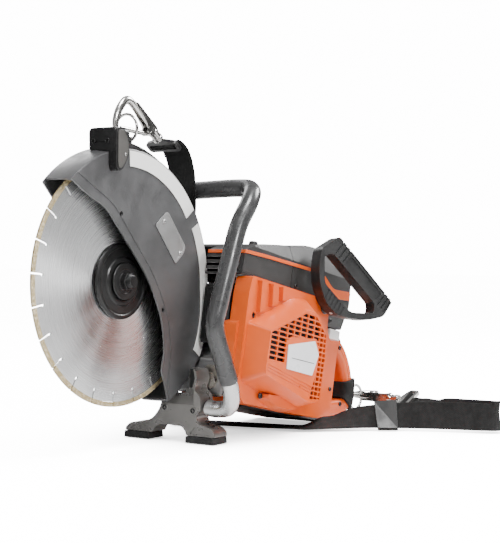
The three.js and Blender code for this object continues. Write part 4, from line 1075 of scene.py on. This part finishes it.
def add_starter_cover():
    base = prism("starter_cover_moulding", outline([
        (94, 80, 5), (90, 105, 5), (-113, 105, 5), (-122, 97, 5), (-124, 60, 8), (-136, 44, 8),
        (-160, 40, 8),
        (-160, -60, 12), (-120, -79, 8), (80, -79, 10), (96, -50, 10)]), STARTER_INNER, STARTER_FACE,
        ENGINE)
    foot = [(91, 38, 5), (-18, 93, 8), (-60, 99, 12), (-84, 66, 14), (-86, 8, 12), (-82, -64, 8),
            (-45, -76, 10),
            (92, -50, 8)]
    face = [(78, 28, 4), (-12, 72, 6), (-38, 72, 10), (-70, 44, 12), (-74, 8, 10), (-71, -56, 6),
            (-45, -62, 8),
            (80, -35, 6)]
    bulge = loft("bulge", [(outline(foot), STARTER_FACE - 4), (outline(face), STARTER_BULGE)])
    lobe_foot = [(42, -60, 8), (40, -72, 10), (12, -80, 12), (-30, -81, 14), (-58, -74, 10), (-64, -58, 8)]
    lobe_face = [(34, -60, 6), (33, -68, 9), (10, -75, 10), (-28, -76, 12), (-52, -70, 9), (-57, -58, 6)]
    lobe = loft("lobe", [(outline(lobe_foot), STARTER_FACE - 5), (outline(lobe_face), STARTER_FACE + 13)])
    fins, sinks = [], []
    for front, rear, bottom in ((70, 56, 60), (41, 26, 74), (15, 1, 87)):
        fins.append(prism("fin", outline([(front, bottom - 6), (front + 3, 101), (rear + 3, 101),
                                          (rear, bottom)]),
                          STARTER_FACE - 3, STARTER_FACE + 5.5, ENGINE))
        sinks.append(prism("sink", outline([
            (front - 0.8, bottom - 6.4), (front + 2.2, 101.4), (front + 7.5, 101.4),
            (front + 4.5, bottom - 8)]),
            STARTER_FACE - 2, STARTER_FACE + 9, ENGINE))
    chin = prism("chin", outline([(92, 40, 6), (99, 34, 6), (97, -44, 8), (80, -58, 6), (80, 40, 6)]), 74,
                 STARTER_FACE - 12, ENGINE)
    cover = joined(base, bulge, lobe, chin, *fins)
    room = prism("room", outline([
        (89, 78), (86, 101), (-111, 101), (-118, 94), (-120, 58), (-134, 40), (-156, 36), (-156, -58),
        (-118, -75), (78, -75), (91, -49)]), STARTER_INNER - 12, STARTER_FACE - 4, ENGINE)
    well = loft("well", [
        (outline([(80, 30), (-16, 82), (-54, 86), (-76, 62), (-78, 8), (-74, -58), (-42, -68), (82, -42)],
                 6),
         STARTER_FACE - 8),
        (outline([(71, 24), (-12, 66), (-34, 66), (-64, 42), (-68, 8), (-66, -50), (-42, -55), (73, -29)],
                 6),
         STARTER_BULGE - 3)])
    grooves = [prism("groove", outline([(76, z), (76, z - 1.5), (-42, z - 19.5), (-42, z - 18)]),
                     STARTER_BULGE - 0.9,
                     STARTER_BULGE + 5, ENGINE) for z in (-20, -24.5, -29)]
    holes = [plug(r, depth, 150, moved(ENGINE, u, 0, w)) for u, w, r, depth in (
        (76, 49, 4.8, 90), (ROPE_U, ROPE_W, 4.5, 90),
        (41, -64, 5.2, STARTER_FACE + 4), (-12, -42, 1.9, STARTER_BULGE - 1))]
    opening = prism("opening", GRILLE, STARTER_BULGE - 12, STARTER_BULGE + 4, ENGINE)
    carved(cover, room, well, *grooves, opening, *holes, *sinks)
    joined(cover, plug(7, 107, 141.6, ENGINE))
    finished(tidied(cover), "orange_plastic", "power_unit", "starter_cover", 1.3, 3, 26)
    plate = prism("starter_badge_film", outline(
        [(31, 14, 1.5), (29, -21, 1.5), (-40, -22, 2), (-52, 11, 2), (-38, 30, 2)]),
        STARTER_BULGE + 0.3, STARTER_BULGE + 1.6, ENGINE)
    finished(plate, "silver_film", "power_unit", "starter_badge", 0.3, 3, look=BADGE_LOOK)
    line = prism("starter_badge_line", outline([(19, -3), (19, -4), (-41, -4), (-41, -3)]),
                 STARTER_BULGE + 1.5,
                 STARTER_BULGE + 1.75, ENGINE)
    finished(line, "black_plastic", "power_unit")
    add_grille()
    screw("starter_screw_upper", (76, STARTER_FACE - 3.6, 49), (0, 1, 0), 4.6)
    screw("starter_screw_lower", (41, STARTER_FACE + 3, -64), (0, 1, 0), 4.4)
    screw("starter_screw_rear", (-150, STARTER_FACE - 0.6, -30), (0, 1, 0), 3.4)
    # A near-black sheet behind the grille: painted shade seen through its openings.
    shade_sheet = prism("starter_shade_sheet", outline([
        (72, 25), (-14, 70), (-42, 72), (-66, 48), (-70, 8), (-67, -52), (-42, -58), (74, -32)]),
        STARTER_BULGE - 13, STARTER_BULGE - 12, ENGINE)
    carved(shade_sheet, plug(8, 120, 150, ENGINE))
    finished(shade_sheet, "black_plastic", "power_unit", bevel=0.2, look=PAINTED_SHADE)


BADGE_LOOK = plastic("badge_film", (0.72, 0.73, 0.75), 0.3, 900, 0.05, (0.6, 0.61, 0.64)).material


# Fuel tank, rear handle and its cuff.

FILLER = (-135, 0, -10)
REAR_LOOP = [
    (-203, 50, 54), (-226, 50, 50), (-248, 50, 38), (-267, 50, 17), (-278, 50, -6), (-281, 50, -28),
    (-273, 50, -45), (-248, 50, -52), (-203, 50, -60),
]


def add_rear_handle():
    section = outline([(-16, -13), (16, -13), (16, 13), (-16, 13)], 9, 6)
    path = smooth_path(REAR_LOOP, 90)
    grip = sweep("rear_handle_moulding", section, path, ENGINE, Vector((0, 1, 0)))
    slot = prism("slot", outline([(-200, 57), (-226, 52), (-246, 41), (-257, 27), (-262, 0), (-200, 0)]),
                 44, 56, ENGINE)
    carved(grip, box("face", (-205.3, -190), (20, 80), (-90, 80), ENGINE), slot)
    finished(tidied(grip), "orange_plastic", "power_unit", "rear_handle", 0.8, 3, 40)
    seam = sweep("rear_handle_seam", circle(0.5, count=8),
                 [p + Vector((0, 16.1, 0)) for p in path[6:-6]], ENGINE, Vector((0, 1, 0)))
    finished(seam, "orange_plastic", "power_unit", bevel=0.1, segments=1)
    for tag, u, w in (("upper", -236, 46), ("lower", -256, -44)):
        screw(f"rear_handle_screw_{tag}", (u, 65.4, w), (0, 1, 0), 3.8)
    outer = outline([(-19, -17.5), (19, -17.5), (19, 17.5), (-19, 17.5)], 9, 6)
    cuff = sweep("rear_cuff_webbing", outer, smooth_path(REAR_LOOP, 24, 0.455, 0.64), ENGINE,
                 Vector((0, 1, 0)),
                 lambda t: 1 + 0.02 * math.cos(6.28 * t))
    finished(cuff, "webbing", "power_unit", "rear_cuff", 1.2, 3, 40)


def add_tank():
    tank = prism("fuel_tank_moulding", outline([
        (-62, 60, 4), (-205, 66, 8), (-205, -79, 10), (12, -79, 6), (12, -62, 4), (-62, -60, 4)]), -55,
        81.6, ENGINE)
    filler = plug(14, -60, -45, moved(ENGINE, *FILLER), 40)
    ribs = [box("rib", (-208, -203.8), (y, y + 3), (-60, 48), ENGINE) for y in (-44, -30, -16)]
    carved(tank, filler, merged(*ribs))
    finished(tidied(tank), "orange_plastic", "power_unit", "fuel_tank", 2.4, 4, 38)
    lip = prism("tank_lip", outline([(14, -76), (14, -79.8), (-204, -79.8), (-204, -76)]), -40, 84, ENGINE)
    finished(lip, "charcoal_plastic", "power_unit", bevel=0.8)


def on_rope(depth):
    """A point on the line where the rope leaves, in the machine's own millimetres."""
    return Matrix.Rotation(-PITCH, 4, "Y") @ Vector((ROPE_U, depth, ROPE_W)) + CRANK


def add_starter_handle():
    pull = Vector((-0.69, 0.068, 0.72)).normalized()
    bar = Vector((-0.695, 0.214, -0.687))
    bar = (bar - pull * bar.dot(pull)).normalized()
    root = on_rope(128)
    basis = Matrix((bar, pull, bar.cross(pull))).transposed().to_4x4()
    place = moved(MACHINE, *root) @ basis
    body_loop = outline([
        (-65, 89, 5), (87, 89, 5), (86, 56, 8), (62, 27, 14), (24, -1, 14), (4, -12, 8), (-24, -13, 8),
        (-52, 0, 12),
        (-72, 23, 12), (-83, 48, 6)], 0, 8)
    hole = outline([(-45, 9, 7), (9, 10, 9), (26, 12, 10), (66, 45, 7), (57, 59, 6), (-60, 58, 6),
                    (-72, 42, 6)], 0, 8)
    grip = prism("starter_grip", [body_loop, hole[::-1]], -9.4, 9.4, place, "top")
    tools = []
    for at in (-58, -48, -38, 62, 71, 79):
        loop = outline([(at, 62), (at + 3, 62), (at + 7, 92), (at + 4, 92)])
        tools += [prism("rib", loop, low, high, place, "top") for low, high in ((7.6, 12), (-12, -7.6))]
    panel = prism("panel", outline([(-30, 65), (56, 65), (60, 82), (-26, 82)], 3), 8.2, 12, place, "top")
    edge = prism("edge", outline([(-32, 85), (62, 85), (62, 86.5), (-32, 86.5)]), 8.4, 12, place, "top")
    boot_ribs = [box("rib", (-34 + 8 * k, -30 + 8 * k), (-16, 7), (8.4, 12), place) for k in range(6)]
    rope_hole = plug(2.8, -20, 6, place, 20, 0.2)
    carved(grip, *tools, panel, edge, *boot_ribs, rope_hole)
    finished(tidied(grip), "rubber", "starter_grip", "starter_handle", 2.0, 4, 40, look=GRIP_LOOK)
    start, end = on_rope(112), root + pull * -12
    line = [start.lerp(end, k / 40) for k in range(41)] + [end + pull * (k + 1) for k in range(14)]
    rope = sweep("starter_rope_braid", circle(2.2, count=12), line)
    finished(rope, "starter_cord", None, "starter_rope")
    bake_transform(rope)
    ferrule = [(4.6, 109.6), (11, 109.6), (11, 111.5), (9.4, 112.4), (8, 117), (6.4, 117.4), (4.6, 117.4)]
    finished(turned("starter_rope_guide", ferrule, moved(ENGINE, ROPE_U, 0, ROPE_W), 40, closed=True),
             "black_plastic", "power_unit", bevel=0.3, segments=2)


GRIP_LOOK = plastic("grip_rubber", (0.016, 0.016, 0.016), 0.4, 1500, 0.2).material


def add_details():
    """Nodes that keep their CAD shape with soft edges, and the small parts round them."""
    for node, slot, body, bevel in (
        ("belt_guard", "charcoal_plastic", "power_unit", 1.2),
        ("cutting_arm", "cast_aluminium", "power_unit", 0.8),
        ("muffler", "black_coating", "power_unit", 1.0), ("crankcase", "cast_aluminium", "power_unit", 0.8),
        ("fuel_cap", "charcoal_plastic", "filler_cap", 0.8), ("choke_knob", "black_plastic", "choke", 0.6),
        ("stop_switch", "red_plastic", "stop_slider", 1.0),
        ("rear_damper", "silver_film", "power_unit", 1.5),
        ("throttle_trigger", "black_plastic", "trigger", 0.8),
        ("throttle_lock", "black_plastic", "lock_lever", 0.8),
        ("decompression_valve", "charcoal_plastic", "decompression_button", 0.5),
        ("cylinder", "cast_aluminium", "power_unit", 0.3),
        ("carburettor", "cast_aluminium", "power_unit", 0.6),
    ):
        refined(node, slot, body, bevel)
    for index in range(14):
        angle = 2 * math.pi * index / 14
        ridge = box(f"fuel_cap_ridge_{index}", (-1.6, 1.6), (-69.2, -58), (16.2, 18.4),
                    moved(ENGINE, *FILLER) @ Matrix.Rotation(angle, 4, "Y"))
        finished(ridge, "charcoal_plastic", "filler_cap", bevel=0.5, segments=2)
    for index, (u, w) in enumerate(((-40, 0), (0, 40), (60, 42), (180, 36), (262, 30), (290, -30),
                                    (180, -38), (60, -44))):
        screw(f"belt_guard_screw_{index}", (u, -87, w), (0, -1, 0), 4, place=ARM)
    panel = prism("belt_guard_panel", outline([(10, 34), (10, -34), (230, -30), (230, 30)], 14), -88.6,
                  -86.6, ARM)
    carved(panel, *[prism("slot", outline([(u, 18), (u, -18), (u + 7, -18), (u + 7, 18)], 3), -90, -87.6,
                          ARM)
                    for u in range(40, 210, 26)])
    finished(tidied(panel), "charcoal_plastic", "power_unit", bevel=0.8)


FLOOR_HALF = 9
FLOOR_DROP = 0.0008
SHADED_GLOW, OPEN_GLOW = 0.8, 14.0
WALL_LEVEL = 15.0
LIGHTS = (
    ("top", (0.3, 0.8, 2.3), 0.6, 62), ("key", (0.9, 2.45, 1.7), 0.45, 58),
    ("fill", (2.8, 0.2, 0.9), 1.4, 9),
    ("back", (-1.9, 0.9, 1.8), 0.8, 100), ("rim", (-0.9, -1.8, 1.6), 1.0, 20),
)
LIGHTS_AIM = Vector((-0.05, 0, 0.2))


def add_stage():
    size = FLOOR_HALF
    mesh = bpy.data.meshes.new("floor")
    mesh.from_pydata([(-size, -size, 0), (size, -size, 0), (size, size, 0), (-size, size, 0)], [],
                     [(0, 1, 2, 3)])
    floor = bpy.data.objects.new("floor", mesh)
    floor.location.z = -FLOOR_DROP
    look = Look("floor", (0.9, 0.9, 0.9), 0.55)
    look.bump(look.noise(60, 4), 0.02, 0.0002)
    # Straight rays see the floor as bright as the wall behind it, darker where the saw shades it.
    open_sky = look.add("ShaderNodeAmbientOcclusion", {"samples": 8}, Distance=0.16).outputs["AO"]
    shade = look.spread(open_sky, SHADED_GLOW, OPEN_GLOW, 0.1, 0.95)
    glow = look.add("ShaderNodeMath", {"operation": "MULTIPLY"})
    look.tree.links.new(look.add("ShaderNodeLightPath").outputs["Is Camera Ray"], glow.inputs[0])
    look.tree.links.new(shade, glow.inputs[1])
    look.link(glow.outputs["Value"], "Emission Strength")
    look.set(Emission_Color=(1, 1, 1, 1))
    mesh.materials.append(look.material)
    bpy.context.scene.collection.objects.link(floor)
    world = bpy.data.worlds.new("studio")
    world.use_nodes = True
    tree = world.node_tree
    # Straight rays see a white wall; reflections see a room that darkens towards the horizon.
    place = tree.nodes.new("ShaderNodeTexCoord")
    split = tree.nodes.new("ShaderNodeSeparateXYZ")
    ramp = tree.nodes.new("ShaderNodeMapRange")
    path = tree.nodes.new("ShaderNodeLightPath")
    level = tree.nodes.new("ShaderNodeMix")
    tree.links.new(place.outputs["Generated"], split.inputs["Vector"])
    tree.links.new(split.outputs["Z"], ramp.inputs["Value"])
    for key, number in (("From Min", 0.0), ("From Max", 0.9), ("To Min", 0.05), ("To Max", 0.5)):
        ramp.inputs[key].default_value = number
    tree.links.new(path.outputs["Is Camera Ray"], level.inputs[0])
    tree.links.new(ramp.outputs["Result"], level.inputs[2])
    level.inputs[3].default_value = WALL_LEVEL
    tree.links.new(level.outputs[0], tree.nodes["Background"].inputs["Strength"])
    tree.nodes["Background"].inputs["Color"].default_value = (1, 1, 1, 1)
    bpy.context.scene.world = world
    for name, at, size_m, power in LIGHTS:
        light = bpy.data.objects.new(name, bpy.data.lights.new(name, "AREA"))
        light.data.size = size_m
        light.data.energy = power
        light.location = at
        light.rotation_euler = (LIGHTS_AIM - Vector(at)).to_track_quat("-Z", "Y").to_euler()
        bpy.context.scene.collection.objects.link(light)


add_strap()
add_blade()
add_guard()
add_guard_trim()
add_guard_handle()
add_carrying_hardware()
add_stand()
add_front_handle()
add_covers()
add_starter_cover()
add_rear_handle()
add_tank()
add_starter_handle()
add_details()
add_stage()
